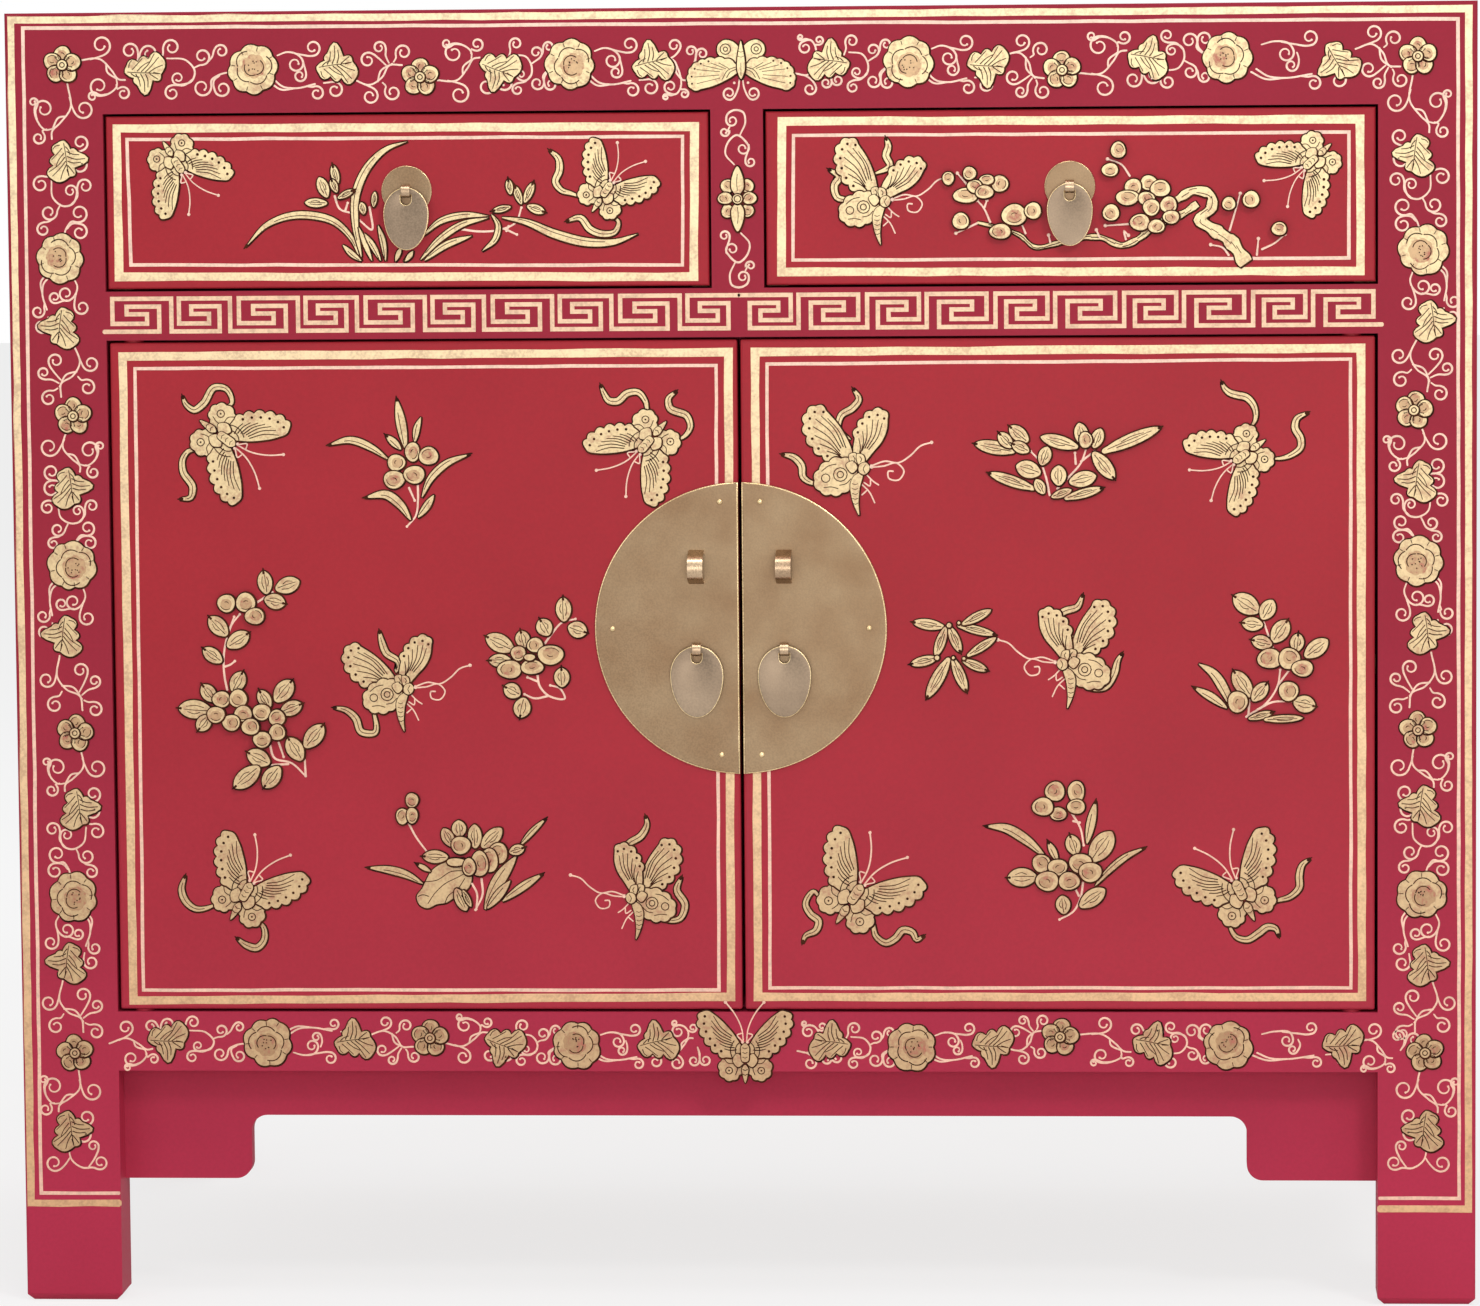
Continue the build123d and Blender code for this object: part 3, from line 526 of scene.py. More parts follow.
# Each gold runs from its colour low down to a paler one at the top: painted light from above.
gold_leaf = gold_paint("brushed_bronze_powder_gold", "#C4A178", "#F6DFAC", 0.25, 0.42)
thin_gold = gold_paint("thinly_stippled_bronze_powder_gold", "#AE8863", "#D9B488", 0.15, 0.9)
pale_band = gold_paint("lined_bronze_powder_gold", "#DBAE82", "#FFE8BC", 0.25, 0.2)
pale_fret = gold_paint("fret_bronze_powder_gold", "#EBC09C", "#F6D0AE", 0.1, 0.15)
pale_vine = gold_paint("fine_peach_lacquer_line", "#F4C4AC", "#FFDAC4", 0.05, 0.0)
dark_ink = ink_line()


# ---------------------------------------------------------------- leaves, petals and blades

def tapered(spine, width, fullest=0.5, tip=0.0, root=0.12):
    """The outline of a ribbon that is widest part of the way along and narrows to its ends."""
    fullness, least_half = 0.8, 0.12
    last = len(spine) - 1
    left, right = [], []
    for k, p in enumerate(spine):
        along = spine[min(k + 1, last)] - spine[max(k - 1, 0)]
        t = k / last
        rise = t / fullest if t < fullest else (1 - t) / (1 - fullest)
        end = root if t < fullest else tip
        half = width / 2 * (end + (1 - end) * math.sin(math.pi / 2 * min(1.0, rise)) ** fullness)
        side = 1j * along / abs(along) * max(half, least_half)
        left.append(p - side)
        right.append(p + side)
    return left + right[::-1]


def dark_tip(paint, line, width=2.3):
    """The point of a leaf, touched with ink."""
    tip, reach = line[-1], 1.6
    run = tip - line[-3]
    run *= reach / abs(run)
    paint.stroke([tip - run, tip, tip + run], lambda t: width * (1 - 0.7 * t), INK)


def blade(paint, width, dark, spine):
    """A long leaf: a ribbon with its midrib drawn in, and its point sometimes dark."""
    least_ribbed, rib_width, off_middle = 3, 0.65, 0.12
    line = curve(spine, step=1.8)
    paint.shape(tapered(line, width))
    count = len(line)
    rib = line[count // 8:count * 3 // 4]
    if width > least_ribbed and len(rib) > 2:
        run = rib[-1] - rib[0]
        paint.stroke([p + 1j * run / abs(run) * width * off_middle for p in rib], rib_width, INK)
    if dark:
        dark_tip(paint, line)


# Half the outline of a leaf, as shares of its length and width, and its ribs: begin, bow and end.
leaf_half = [(0, 0.06), (0.14, 0.3), (0.36, 0.47), (0.6, 0.49), (0.82, 0.36), (0.95, 0.16)]
leaf_veins = [(0.1, 0.05, 0.84), (0.24, -0.21, 0.76), (0.34, 0.25, 0.72)]


def leaf(paint, x, z, tip_x, tip_z, width, dark):
    """An egg-shaped leaf from its stalk to its tip, with a midrib and a vein at each side of it."""
    base, tip = complex(x, z), complex(tip_x, tip_z)
    length = abs(tip - base)
    turn = math.degrees(cmath.phase(tip - base))
    half = [complex(p * length, q * width) for p, q in leaf_half]
    outline = half + [complex(length, 0)] + [p.conjugate() for p in half[::-1]]
    paint.shape(curve(place(outline, base, turn), closed=True, step=1.5))
    bend = brush.choice((-1, 1)) * width
    for begin, share, end in leaf_veins:
        bowed, flatter = share * bend, share * 0.6 * bend
        rib = [(begin * length, flatter), (0.5 * length, bowed), (end * length, flatter)]
        paint.stroke(curve(place(rib, base, turn)), lambda t: 0.75 - 0.25 * t, INK)
    if dark:
        dark_tip(paint, place([(0.9 * length, 0), (0.95 * length, 0), (length, 0)], base, turn))


def petal(paint, x, z, wide, high):
    """A round petal, thinly painted over its heart, with two short dark curves in it. A bud has none."""
    least_open, wobble, off_middle, thin_share = 3, 0.035, 0.12, 0.66
    middle, sway = complex(x, z), brush.uniform(0, 360)

    def around(centre, share, angle):
        return centre + share * complex(wide * math.cos(angle), high * math.sin(angle))

    outline = []
    for k in range(12):
        angle = math.radians(30 * k)
        outline.append(around(middle, 1 + wobble * math.sin(3 * angle + sway), angle))
    paint.shape(curve(outline, closed=True, step=1.6))
    if min(wide, high) < least_open:
        return
    heart = around(middle, off_middle, math.radians(sway))
    paint.height += coat
    paint.slab([heart + thin_share * (p - middle) for p in outline], 0.1, THIN)
    for centre, share, begin, end in ((middle, 0.72, -60, 40), (heart, 0.3, 120, 220)):
        arc = [around(centre, share, math.radians(sway + turn)) for turn in range(begin, end + 1, 20)]
        paint.stroke(arc, lambda t: 0.5 + 0.25 * math.sin(math.pi * t), INK)


def spray(paint, drawing):
    """A spray of flowers: its twigs first, and over them blades, leaves and petals."""
    paint.settle()
    for line in drawing.get("twigs", []):
        path = curve(line)
        paint.stroke(path, lambda t: 1.6 - 0.4 * t, VINE)
        paint.dot(path[-1], 0.95, VINE)
    for args in drawing.get("blades", []):
        blade(paint, *args)
    for args in drawing.get("leaves", []):
        leaf(paint, *args)
    for args in drawing.get("petals", []):
        petal(paint, *args)


# ---------------------------------------------------------------- butterflies

# Widths of the ink lines inside a motif, in millimetres.
fine, firm = 0.6, 0.7

# A butterfly seen from above, in millimetres: it flies along x, and its left wings are on the y side.
fore_lead = [(4, 3), (12, 8), (18, 13), (25.5, 21), (29, 27), (28, 31.5)]
fore_scallops = [(28, 31.5), (22.8, 33.2), (16, 32), (9.4, 29), (3.4, 24.6), (-1.6, 19.4), (-5, 14)]
hind_scallops = [(-2, 9), (-7.5, 17), (-14.5, 18.4), (-20, 15), (-21.4, 9.2), (-18, 4.6), (-12, 2)]
antenna_line = [(5, 1), (16, 2.4), (27, 7.5), (35, 13.8)]
vein_ends = [(25, 22.5), (21.6, 24), (17.6, 24.2), (13.4, 23), (9.2, 21), (5, 18.2), (1.2, 14.8)]
wing_dots = [(24.8, 28.8), (19.6, 29.4), (13.8, 28), (8.6, 25.2), (3.8, 21.6), (-0.4, 17.2)]
hind_eye = (-14.5, 11.6)
hind_folds = [[(-6, 15), (-9, 12.6), (-9.4, 8)], [(-9.6, 6.6), (-13, 5.6), (-17.6, 7)]]
tail_root = (-18, 13)
# Arcs across a fore wing, as radius, begin and end in degrees, and the dark bands of the body.
wing_arcs = [(10.5, 48, 140), (7, 38, 150)]
body_bands = [2.2, -1.2, -4.6, -13.6, -17]
body_parts = [[(-10, 0), (-13, 2.4), (-17, 2), (-23.5, 0), (-17, -2), (-13, -2.4)],
              [(-2, 6), (-7, 9), (-12, 5), (-8, 0.6)], [(-2, -6), (-7, -9), (-12, -5), (-8, -0.6)],
              [(5.5, 0), (3.6, 2.6), (-2, 3), (-8, 1.8), (-8, -1.8), (-2, -3), (3.6, -2.6)]]


def wing_marks(paint, drawn, ends, dots):
    """Veins that fan out from a wing's root, and a row of dots inside its edge."""
    vein_begins, vein_bow, dot_radius = 0.42, 0.08, 1.05
    for end in place(ends):
        begin = end * vein_begins
        middle = (begin + end) / 2 + 1j * (end - begin) * vein_bow
        paint.stroke(curve(drawn([begin, middle, end])), lambda t: 0.95 - 0.25 * t, INK)
    for dot in dots:
        paint.dot(drawn([dot])[0], dot_radius, INK)


def ring_mark(paint, at, radius):
    """A drawn ring."""
    circle = [at + cmath.rect(radius, math.radians(a)) for a in range(0, 331, 30)]
    paint.stroke(circle, 0.85, INK, True)


def wing(lead, scallops, home, rise):
    """The outline of a wing: its leading edge, its scalloped margin, and the way home to its root."""
    notches = [complex(*p) for p in scallops]
    edge = curve(lead)[:-1]
    for begin, end in zip(notches, notches[1:]):
        edge += bow(begin, end, rise)
    return edge + curve([notches[-1]] + [complex(*p) for p in home])


def tail(paint, points, width=4.2):
    """A ribbon tail, thin where it leaves the wing, with a line along it and a dark point."""
    line = curve(points, step=1.6)
    paint.shape(tapered(line, width, fullest=0.66, tip=0.25))
    paint.stroke(line[len(line) // 4:-3], fine, INK)
    dark_tip(paint, line, 2.2)


def butterfly_above(paint, x, z, turn, size, tails=()):
    """An open butterfly; its tails are given as places on the front."""
    paint.settle()
    at = complex(x, z)

    def drawn(points, side=1):
        return place(points, at, turn, size, side)

    hips = [drawn([tail_root], side)[0] for side in (1, -1)]
    for points in tails:
        tail(paint, [min(hips, key=lambda hip: abs(hip - complex(*points[0])))] + points)
    for side in (1, -1):
        paint.stroke(curve(drawn(antenna_line, side)), 1.1 * size, VINE)
        paint.dot(drawn([antenna_line[-1]], side)[0], 1.1, VINE)
        paint.shape(drawn(scalloped(hind_scallops, 0.26), side))
        ring_mark(paint, drawn([hind_eye], side)[0], 2.5 * size)
        paint.dot(drawn([hind_eye], side)[0], 0.8, INK)
        for fold in hind_folds:
            paint.stroke(curve(drawn(fold, side)), firm, INK)
        paint.shape(drawn(wing(fore_lead, fore_scallops, [(-5, 8), (-1, 3)], 0.32), side))
        wing_marks(paint, lambda points: drawn(points, side), vein_ends, wing_dots)
        for radius, begin, end in wing_arcs:
            fan = [cmath.rect(radius, math.radians(begin + (end - begin) * k / 6)) for k in range(7)]
            paint.stroke(curve(drawn(fan, side)), 0.75, INK)
    for part in body_parts:
        paint.shape(curve(drawn(part), True, 1.2), fine)
    for band in body_bands:
        paint.stroke(drawn([(band, -1.7), (band - 0.8, 0), (band, 1.7)]), fine, INK)
    for side in (1, -1):
        paint.dot(drawn([(6.2, 1.7 * side)])[0], 1.1, VINE)
        paint.stroke(curve(drawn([(7, 2 * side), (11.5, 5.4 * side), (12.5, 2.5 * side)])), 0.9, VINE)


# A butterfly seen from the side, facing left with its wings up, in millimetres from its breast.
near_lead = [(-3, 3), (-9, 10.5), (-14, 16.5), (-17.2, 24), (-17.8, 31)]
near_scallops = [(-17.8, 31), (-14.6, 36), (-8.4, 35.4), (-3, 31), (0.6, 25.6), (2.6, 19)]
near_home = [(3.6, 12), (3, 4)]
near_veins = [(-14.4, 28), (-12, 30), (-8.6, 30), (-5, 27), (-2.4, 23), (0, 18.6)]
near_dots = [(-15.6, 30.8), (-11.6, 33), (-6.4, 31.8), (-2.2, 27.8), (0.6, 22.4)]

far_lead = [(2, 4), (6, 16), (13, 28), (20, 36)]
far_scallops = [(20, 36), (26.5, 38.6), (31.8, 34.6), (33.4, 27.6), (31.8, 20.4), (28, 13.6), (22.6, 8.4),
                (16.5, 5)]
far_home = [(9, 2), (4, 1)]
far_veins = [(19, 31), (23, 32.6), (26.4, 30.6), (28, 26), (27, 20.6), (24, 15.4), (19.6, 11)]
far_dots = [(21.6, 35), (27, 35), (30, 31), (30.4, 25), (28.6, 18.6), (24.8, 12.6), (19.4, 8)]

low_scallops = [(4, 4), (11, 6.4), (18.5, 4.4), (24.6, -0.4), (27.4, -7), (24, -13.4), (17.4, -15.4),
                (10.6, -14.6), (5, -10)]
low_eyes = [((20.5, -5.6), 2.6), ((11.5, -3.4), 4.2), ((11.5, -3.4), 2.0)]
low_folds = [[(13, -12), (17, -11), (21.6, -11.4)], [(14, 3), (18.5, 2), (23, -1.4)],
             [(5, -6), (8, -9), (12, -10)]]
feeler = [(-8, 2), (-16, 4.6), (-24, 3.6), (-31.5, 8), (-38, 14), (-44.5, 16)]
tongue = [(-8, 1), (-15, 1.6), (-23, 3.4), (-27.5, -1.6), (-24, -7), (-18, -5.6), (-18, -1.6), (-21, -1.6)]
side_legs = [[(-4, -3), (-9, -8), (-12, -10)], [(-7, -6), (-6.5, -10.5), (-3, -8.4)],
             [(-1, -9), (-6, -14), (-9.5, -21)], [(-5, -13), (-1.6, -16)]]
side_body = [(-2, -2), (3, -4), (5.2, -8), (5, -16), (2.6, -24), (0.2, -28.6), (0.4, -21), (-0.4, -12)]
side_fur = [[(6, 9), (2.6, 10), (0.4, 5), (3.4, 2)], [(1, 9.4), (-2.6, 8.6), (-3.4, 4), (0, 2.6)],
            [(8, 3), (4, 5), (1, 0.6), (4, -2.6)],
            [(-6.4, 1.8), (-4.4, 4), (-0.6, 3), (0, -2), (-3, -3.6), (-5.8, -1.8)]]
fur_folds = [[(-4, 2.6), (-2.6, 0), (-3.8, -2.6)], [(3.6, 8), (2.4, 6), (3.2, 4)],
             [(-0.6, 7.6), (-1.6, 6), (-1, 4.4)]]
side_bands = [-9, -12, -15, -18, -21]
side_tail_roots = [(5, 18), (22, -8)]


def butterfly_beside(paint, x, z, size, flip, near_lean, far_lean, tails):
    """A butterfly with its wings up, each turned by its own lean in degrees. Flip -1 faces right."""
    paint.settle()
    at = complex(x, z)

    def drawn(points, lean=0.0):
        leaned = place(points, 0, lean)
        turned = [complex(-p.real, p.imag) if flip < 0 else p for p in leaned]
        return place(turned, at, 0, size)

    for points, start in zip(tails, side_tail_roots):
        tail(paint, drawn([start]) + points)
    paint.stroke(curve(drawn(feeler)), 1.15 * size, VINE)
    paint.dot(drawn([feeler[-1]])[0], 1.2, VINE)
    paint.stroke(curve(drawn(tongue)), 1.1 * size, VINE)
    for leg in side_legs:
        paint.stroke(curve(drawn(leg)), 1.0 * size, VINE)
    for lead, scallops, home, lean, veins, dots in (
            (far_lead, far_scallops, far_home, far_lean, far_veins, far_dots),
            (near_lead, near_scallops, near_home, near_lean, near_veins, near_dots)):
        paint.shape(drawn(wing(lead, scallops, home, -0.3), lean))
        wing_marks(paint, lambda points: drawn(points, lean), veins, dots)
    paint.shape(drawn(scalloped(low_scallops, -0.24)))
    for middle, radius in low_eyes:
        ring_mark(paint, drawn([middle])[0], radius * size)
    for fold in low_folds:
        paint.stroke(curve(drawn(fold)), firm, INK)
    paint.shape(curve(drawn(side_body), True, 1.2), fine)
    for band in side_bands:
        paint.stroke(drawn([(0.8, band), (2.4, band - 0.7), (4.2, band)]), 0.55, INK)
    for tuft in side_fur:
        paint.shape(curve(drawn(tuft), True, 1.2), fine)
    for fold in fur_folds:
        paint.stroke(curve(drawn(fold)), 0.65, INK)
    paint.dot(drawn([(-7.6, 1.4)])[0], 1.5 * size, VINE)


# The butterfly at the middle of the top rail, head down, in millimetres from its middle.
top_lead = [(2, -4), (4, -5.5), (10, -9), (17, -12), (25, -14)]
top_scallops = [(25, -14), (30.5, -13.5), (32.6, -9.5), (32, -4.5), (30, 0), (26.5, 2.5), (22, 4), (16, 4.6),
                (10, 4.4), (4, 2)]
top_veins = [(27, -10.5), (28.5, -6.5), (27, -2), (23, 0.5), (18.5, 2), (13.5, 2)]
top_dots = [(30, -10.5), (30.2, -6.2), (28.3, -1.5), (24.5, 1.6), (19.8, 3)]
top_folds = [[(3, -0.5), (8, -2.5), (11.5, -8)], [(3, -2), (6.5, -3.6), (8.8, -7)]]
top_swirl = [(2, 2), (1, 11), (5, 15), (10, 16), (14, 13), (14.5, 8.5), (11, 4.5), (6, 2)]
top_body = [(0, 15.5), (1.4, 10), (2.3, 4), (2, -4), (0, -8), (-2, -4), (-2.3, 4), (-1.4, 10)]
top_bands = [[(-1.4, 9), (0, 8.4), (1.4, 9)], [(-1.8, 6), (0, 5.4), (1.8, 6)], [(0, 2), (0, -6)]]


def butterfly_head_down(paint, x, z):
    """An open butterfly that hangs head down, with curled feelers and swirled hind wings above."""
    vein_begins, vein_root = (0.42, 0.45), (1.5, -2.5)
    paint.settle()

    def drawn(points, side=1):
        return [complex(x + side * p.real, z + p.imag) for p in place(points)]

    for side in (1, -1):
        curl(paint, drawn([(1, -8), (2, -14), (7, -20.5)], side), drawn([(7.3, -16.5)], side)[0], 4.0, side)
        paint.dot(drawn([(4.2, -10.2)], side)[0], 0.9, VINE)
    for side in (1, -1):
        paint.shape(curve(drawn(top_swirl, side), True, 1.3))
        for radius in (1.3, 3.2):
            ring_mark(paint, drawn([(9.4, 10.3)], side)[0], radius)
        paint.shape(drawn(wing(top_lead, top_scallops, [(1, -1)], 0.2), side))
        for end_x, end_z in top_veins:
            begin = (end_x * vein_begins[0] + vein_root[0], end_z * vein_begins[1] + vein_root[1])
            paint.stroke(curve(drawn([begin, (end_x, end_z)], side)), 0.5, INK)
        for dot in top_dots:
            paint.dot(drawn([dot], side)[0], 0.8, INK)
        for fold in top_folds:
            paint.stroke(curve(drawn(fold, side)), 0.55, INK)
    paint.shape(curve(drawn(top_body), True, 1.2))
    for band in top_bands:
        paint.stroke(curve(drawn(band)), 0.45, INK)


# ---------------------------------------------------------------- scrolling stems

vine_width = 1.3
curl_size = 1.26


def curl(paint, path, centre, radius, hand):
    """A line that runs into a spiral and ends in a dot. The hand is 1 when the spiral turns left."""
    turns, closes_by, count = 1.12, 0.62, 13
    arm = path[-1] - centre
    begin = cmath.phase(arm) + hand * math.acos(min(1.0, radius / abs(arm)))
    spiral = []
    for k in range(count + 1):
        t = k / count
        angle = begin + hand * turns * 2 * math.pi * t
        spiral.append(centre + cmath.rect(radius * (1 - closes_by * t), angle))
    line = curve(list(path) + spiral, step=1.1)
    paint.stroke(line, lambda t: vine_width * (0.8 + 0.3 * math.sin(math.pi * min(1.0, t * 1.1))))
    paint.dot(line[-1], vine_width * 0.62, VINE, 8)


# Stems that fill the gap between two motifs. Each has the gap it was drawn for, in millimetres, and its
# lines: points from the first motif's middle, and the curl they run into as middle, radius and hand.
stems = {
    "to_leaf": (49, [
        ([(9.8, 3.7), (23.2, 5.5), (30.5, -1.8), (35.4, -7.9), (39.1, -7.9)], None),
        ([(27, 2.4), (27.6, -2.6), (33.6, -7.3)], None),
        ([(33.6, -7.3), (34.2, -12.2), (29.3, -18.3)], (23.2, -13.4, 5.5, -1)),
        ([(29.3, -18.3), (24, -19.5)], (19.6, -21, 2.6, 1)),
        ([(33.8, -11.5), (34.6, -14.5)], (38.4, -17.5, 3.8, -1)),
        ([(17, 5), (24, 8)], (23.2, 15.5, 5.6, 1)),
        ([(44, 0), (46, 6)], (40.9, 12.6, 4.6, 1)),
        ([(44, 0), (46.6, 6)], (52.8, 11.6, 4.8, -1))]),
    "to_peony": (68, [
        ([(15.3, 7.9), (27.5, 6.1), (32.4, -1.8), (30.6, -7.9), (24.4, -10.6)], (22, -6.1, 3.7, -1)),
        ([(31.4, -6.5), (26, -11)], (18.3, -16.5, 4.3, 1)),
        ([(11, 6), (13, 11)], (18.3, 15.5, 4.7, -1)),
        ([(31.8, 1), (36, 3)], (36.9, 9, 4.7, 1)),
        ([(40.8, 5.5), (43, 8.5)], (48.7, 12.6, 3.9, -1)),
        ([(56, -1.6), (46.4, -4.4), (42.4, -8)], (36.7, -12.6, 5.2, -1)),
        ([(47.6, -4.4), (44, -8)], (49.3, -13.6, 4.7, 1))]),
    "to_next": (49.5, [
        ([(12.7, -7.5), (18, -12.5), (25.7, -13.8), (37.9, -11)], None),
        ([(10.4, -9.6), (17, -14.6), (25.7, -13.8)], None),
        ([(15, 9.3), (21, 11.6), (28, 9.3)], (26, 3.2, 4.7, -1)),
        ([(24, 11.2), (30, 9.6)], (36.7, 14.4, 4.6, 1)),
        ([(31, 4), (31.9, -0.5)], (28.6, -5, 3.6, -1)),
        ([(33, -12.6), (36.5, -13)], (38.8, -17.6, 4.1, -1)),
        ([(43, -10.4), (46.5, -10)], (49.9, -15.4, 4.6, -1))]),
    "to_blossom": (55, [
        ([(12, 6), (24, 9), (31, 3), (35, -6), (43, -7)], None),
        ([(28.6, 6.4), (29.8, -1.4), (36.8, -7.4)], None),
        ([(18, 8.4), (24.6, 10.6)], (24.6, 17, 4.7, 1)),
        ([(31.6, 6.6), (34, 9)], (38.8, 12.6, 4.6, -1)),
        ([(32.8, -5.8), (27, -10.6)], (21, -8, 4.4, -1)),
        ([(34.6, -7.4), (32, -12.4)], (27.4, -17.6, 3.6, -1)),
        ([(37.4, -8.6), (38.6, -11.6)], (43, -16, 4.4, 1))])}


def stem(paint, kind, begin, end, across, flip):
    """Draws one gap's stems, stretched to the gap and pressed to the width of the band."""
    drawn_for, lines = stems[kind]
    run = end - begin
    stretch = abs(run) / drawn_for
    turn = cmath.phase(run)

    def there(x, y):
        return begin + cmath.rect(1, turn) * complex(x * stretch, flip * y * across)

    for points, ending in lines:
        path = [there(*p) for p in points]
        if ending:
            x, y, radius, hand = ending
            curl(paint, path, there(x, y), radius * curl_size * min(stretch, across), hand * flip)
        else:
            paint.stroke(curve(path), vine_width)


# ---------------------------------------------------------------- flowers and leaves of the border

# A lobe is the notch that it begins at, and the place that its edge is pulled towards.
leaf_lobes = [((-10.8, -0.8), (-10.8, 1.4)), ((-9.5, 3), (-7, 9.5)), ((-2, 5), (1.5, 11)),
              ((4.5, 6), (9, 14)), ((13.6, 6), (16.8, 1.6)), ((11.5, -4), (11.5, -9.5)),
              ((6, -7), (1, -23.5)), ((-4, -9), (-7, -7)), ((-5.5, -4.5), (-8.5, -4))]
leaf_spine = [(-9, -0.6), (-3, -1.6), (4, -2.4), (10, -3.4)]
leaf_ribs = [[(-8, 2), (-7, 5), (-5.5, 6.2)], [(-6, 0.6), (-3, 3.2), (1, 7)],
             [(-3, -0.6), (1, 2.6), (5, 4.4)], [(-0.5, -1.2), (4, 2.6), (8.6, 9)],
             [(2, -1.6), (6, 1.6), (11, 6.6)], [(4, -2.2), (8, 0), (13, 1.6)],
             [(-7, -1.6), (-5, -3.4), (-2, -4.4)], [(-4, -2.4), (-2.4, -6), (-2, -10)],
             [(-1, -2.6), (0.6, -7), (0.4, -13.6)], [(2, -3), (3, -6.4), (2.6, -11)],
             [(4.6, -3), (7, -5), (9.4, -6.8)], [(7, -2.4), (9, -3), (11, -3.6)]]


def border_leaf(paint, at, turn, flip):
    """A leaf of three lobed parts, with its ribs drawn in ink."""
    outline = []
    for k, (notch, over) in enumerate(leaf_lobes):
        begin, pull = complex(*notch), complex(*over)
        end = complex(*leaf_lobes[(k + 1) % len(leaf_lobes)][0])
        for t in (s / 5 for s in range(5)):
            outline.append(begin * (1 - t) ** 2 + pull * 2 * t * (1 - t) + end * t * t)
    paint.shape(place(outline, at, turn, flip=flip))
    paint.stroke(curve(place(leaf_spine, at, turn, flip=flip)), firm, INK)
    for rib in leaf_ribs:
        paint.stroke(curve(place(rib, at, turn, flip=flip)), lambda t: 0.8 - 0.2 * t, INK)


def blossom(paint, at, radius=11.5):
    """A plum blossom of five round petals round a ringed heart, with a pair of stamens in each gap."""
    fifth = 360 / 5
    reach, round_by, heart = radius * 0.56, radius * 0.44, radius * 0.27
    sway = brush.uniform(-12, 12)
    for k in range(5):
        spot = at + cmath.rect(reach, math.radians(90 + sway + fifth * k))
        petal(paint, spot.real, spot.imag, round_by, round_by)
    paint.shape([at + cmath.rect(heart, math.radians(a)) for a in range(0, 360, 30)])
    ring_mark(paint, at, radius * 0.13)
    for k in range(5):
        for lean in (-9, 9):
            angle = math.radians(90 + fifth / 2 + sway + fifth * k + lean)
            paint.stroke([at + cmath.rect(radius * share, angle) for share in (0.3, 0.4, 0.5)], 0.45, INK)
            paint.dot(at + cmath.rect(radius * 0.53, angle), 0.5, INK, 6)


def peony(paint, at, radius=15.0):
    """A full peony: a lobed outer row of petals, the edges of the inner rows drawn as arcs, and a
    thinly painted heart off its middle with a few dark dots."""
    sway = brush.uniform(0, 360)
    lobes, off_middle, thin_share, arc_bow, arc_span = 8, 0.12, 0.5, 0.14, 165
    rim = []
    for k in range(lobes):
        swell = brush.uniform(0.86, 0.97)
        angle = sway + 360 * k / lobes + brush.uniform(-6, 6)
        rim.append(at + cmath.rect(radius * swell, math.radians(angle)))
    outline = [p for k, begin in enumerate(rim) for p in bow(begin, rim[(k + 1) % lobes], 0.24)]
    paint.shape(outline)
    heart = at + cmath.rect(radius * off_middle, math.radians(sway))
    paint.height += coat
    paint.slab([heart + thin_share * (p - at) for p in outline], 0.1, THIN)
    for row, (share, number, width) in enumerate(((0.66, 5, 0.9), (0.36, 3, 0.8))):
        for k in range(1, number):
            middle = sway + 30 * row + 360 * k / number
            half = arc_span / number
            arc = []
            for t in (s / 6 for s in range(7)):
                bulge = 1 + arc_bow * math.sin(math.pi * t)
                angle = math.radians(middle - half + 2 * half * t)
                arc.append(heart + cmath.rect(radius * share * bulge, angle))
            paint.stroke(curve(arc), width, INK)
    for _ in range(9):
        reach = radius * 0.272 * math.sqrt(brush.random())
        paint.dot(heart + cmath.rect(reach, brush.uniform(0, 2 * math.pi)), 0.55, INK, 6)
    for notch in rim:
        paint.stroke([notch + (at - notch) * share for share in (0.04, 0.2)], 0.5, INK)


def border(paint, motifs, across, flips):
    """A row of motifs with stems between them. A motif is its letter and place, and for a leaf its turn
    and flip; a dash stands where the stems end at no motif of the border."""
    stem_coats = 12
    kinds = {"BL": "to_leaf", "LP": "to_peony", "PL": "to_next", "LB": "to_blossom", "L-": "to_leaf",
             "-L": "to_leaf", "BB": "to_peony", "B-": "to_blossom", "-B": "to_leaf"}
    for number, (first, then) in enumerate(zip(motifs, motifs[1:])):
        if first[0] == then[0] == "-":
            continue
        paint.settle()
        begin, end = complex(*first[1:3]), complex(*then[1:3])
        stem(paint, kinds[first[0] + then[0]], begin, end, across, flips[number % len(flips)])
    for kind, x, z, *way in motifs:
        paint.height = bed + stem_coats * coat
        if kind == "B":
            blossom(paint, complex(x, z))
        elif kind == "P":
            peony(paint, complex(x, z))
        elif kind == "L":
            border_leaf(paint, complex(x, z), *way)


# ---------------------------------------------------------------- lines round the fronts

def ruled(paint, points, width, finish, closed=True):
    """A ruled line with the slight swell of a hand-held brush, mitred at its corners."""
    pull, stray = 22, 0.22
    places = [complex(*p) for p in points]
    ends = places + places[:1] if closed else places
    line = []
    for begin, end in zip(ends, ends[1:]):
        steps = max(2, round(abs(end - begin) / pull))
        side = 1j * (end - begin) / abs(end - begin)
        for s in range(steps):
            wander = brush.uniform(-stray, stray) if s else 0.0
            line.append(begin + (end - begin) * s / steps + side * wander)
    if not closed:
        line.append(ends[-1])
    swell = [brush.uniform(0.93, 1.07) for _ in line]
    paint.settle()
    paint.stroke(line, lambda t: width * swell[round(t * (len(swell) - 1))], finish, closed)


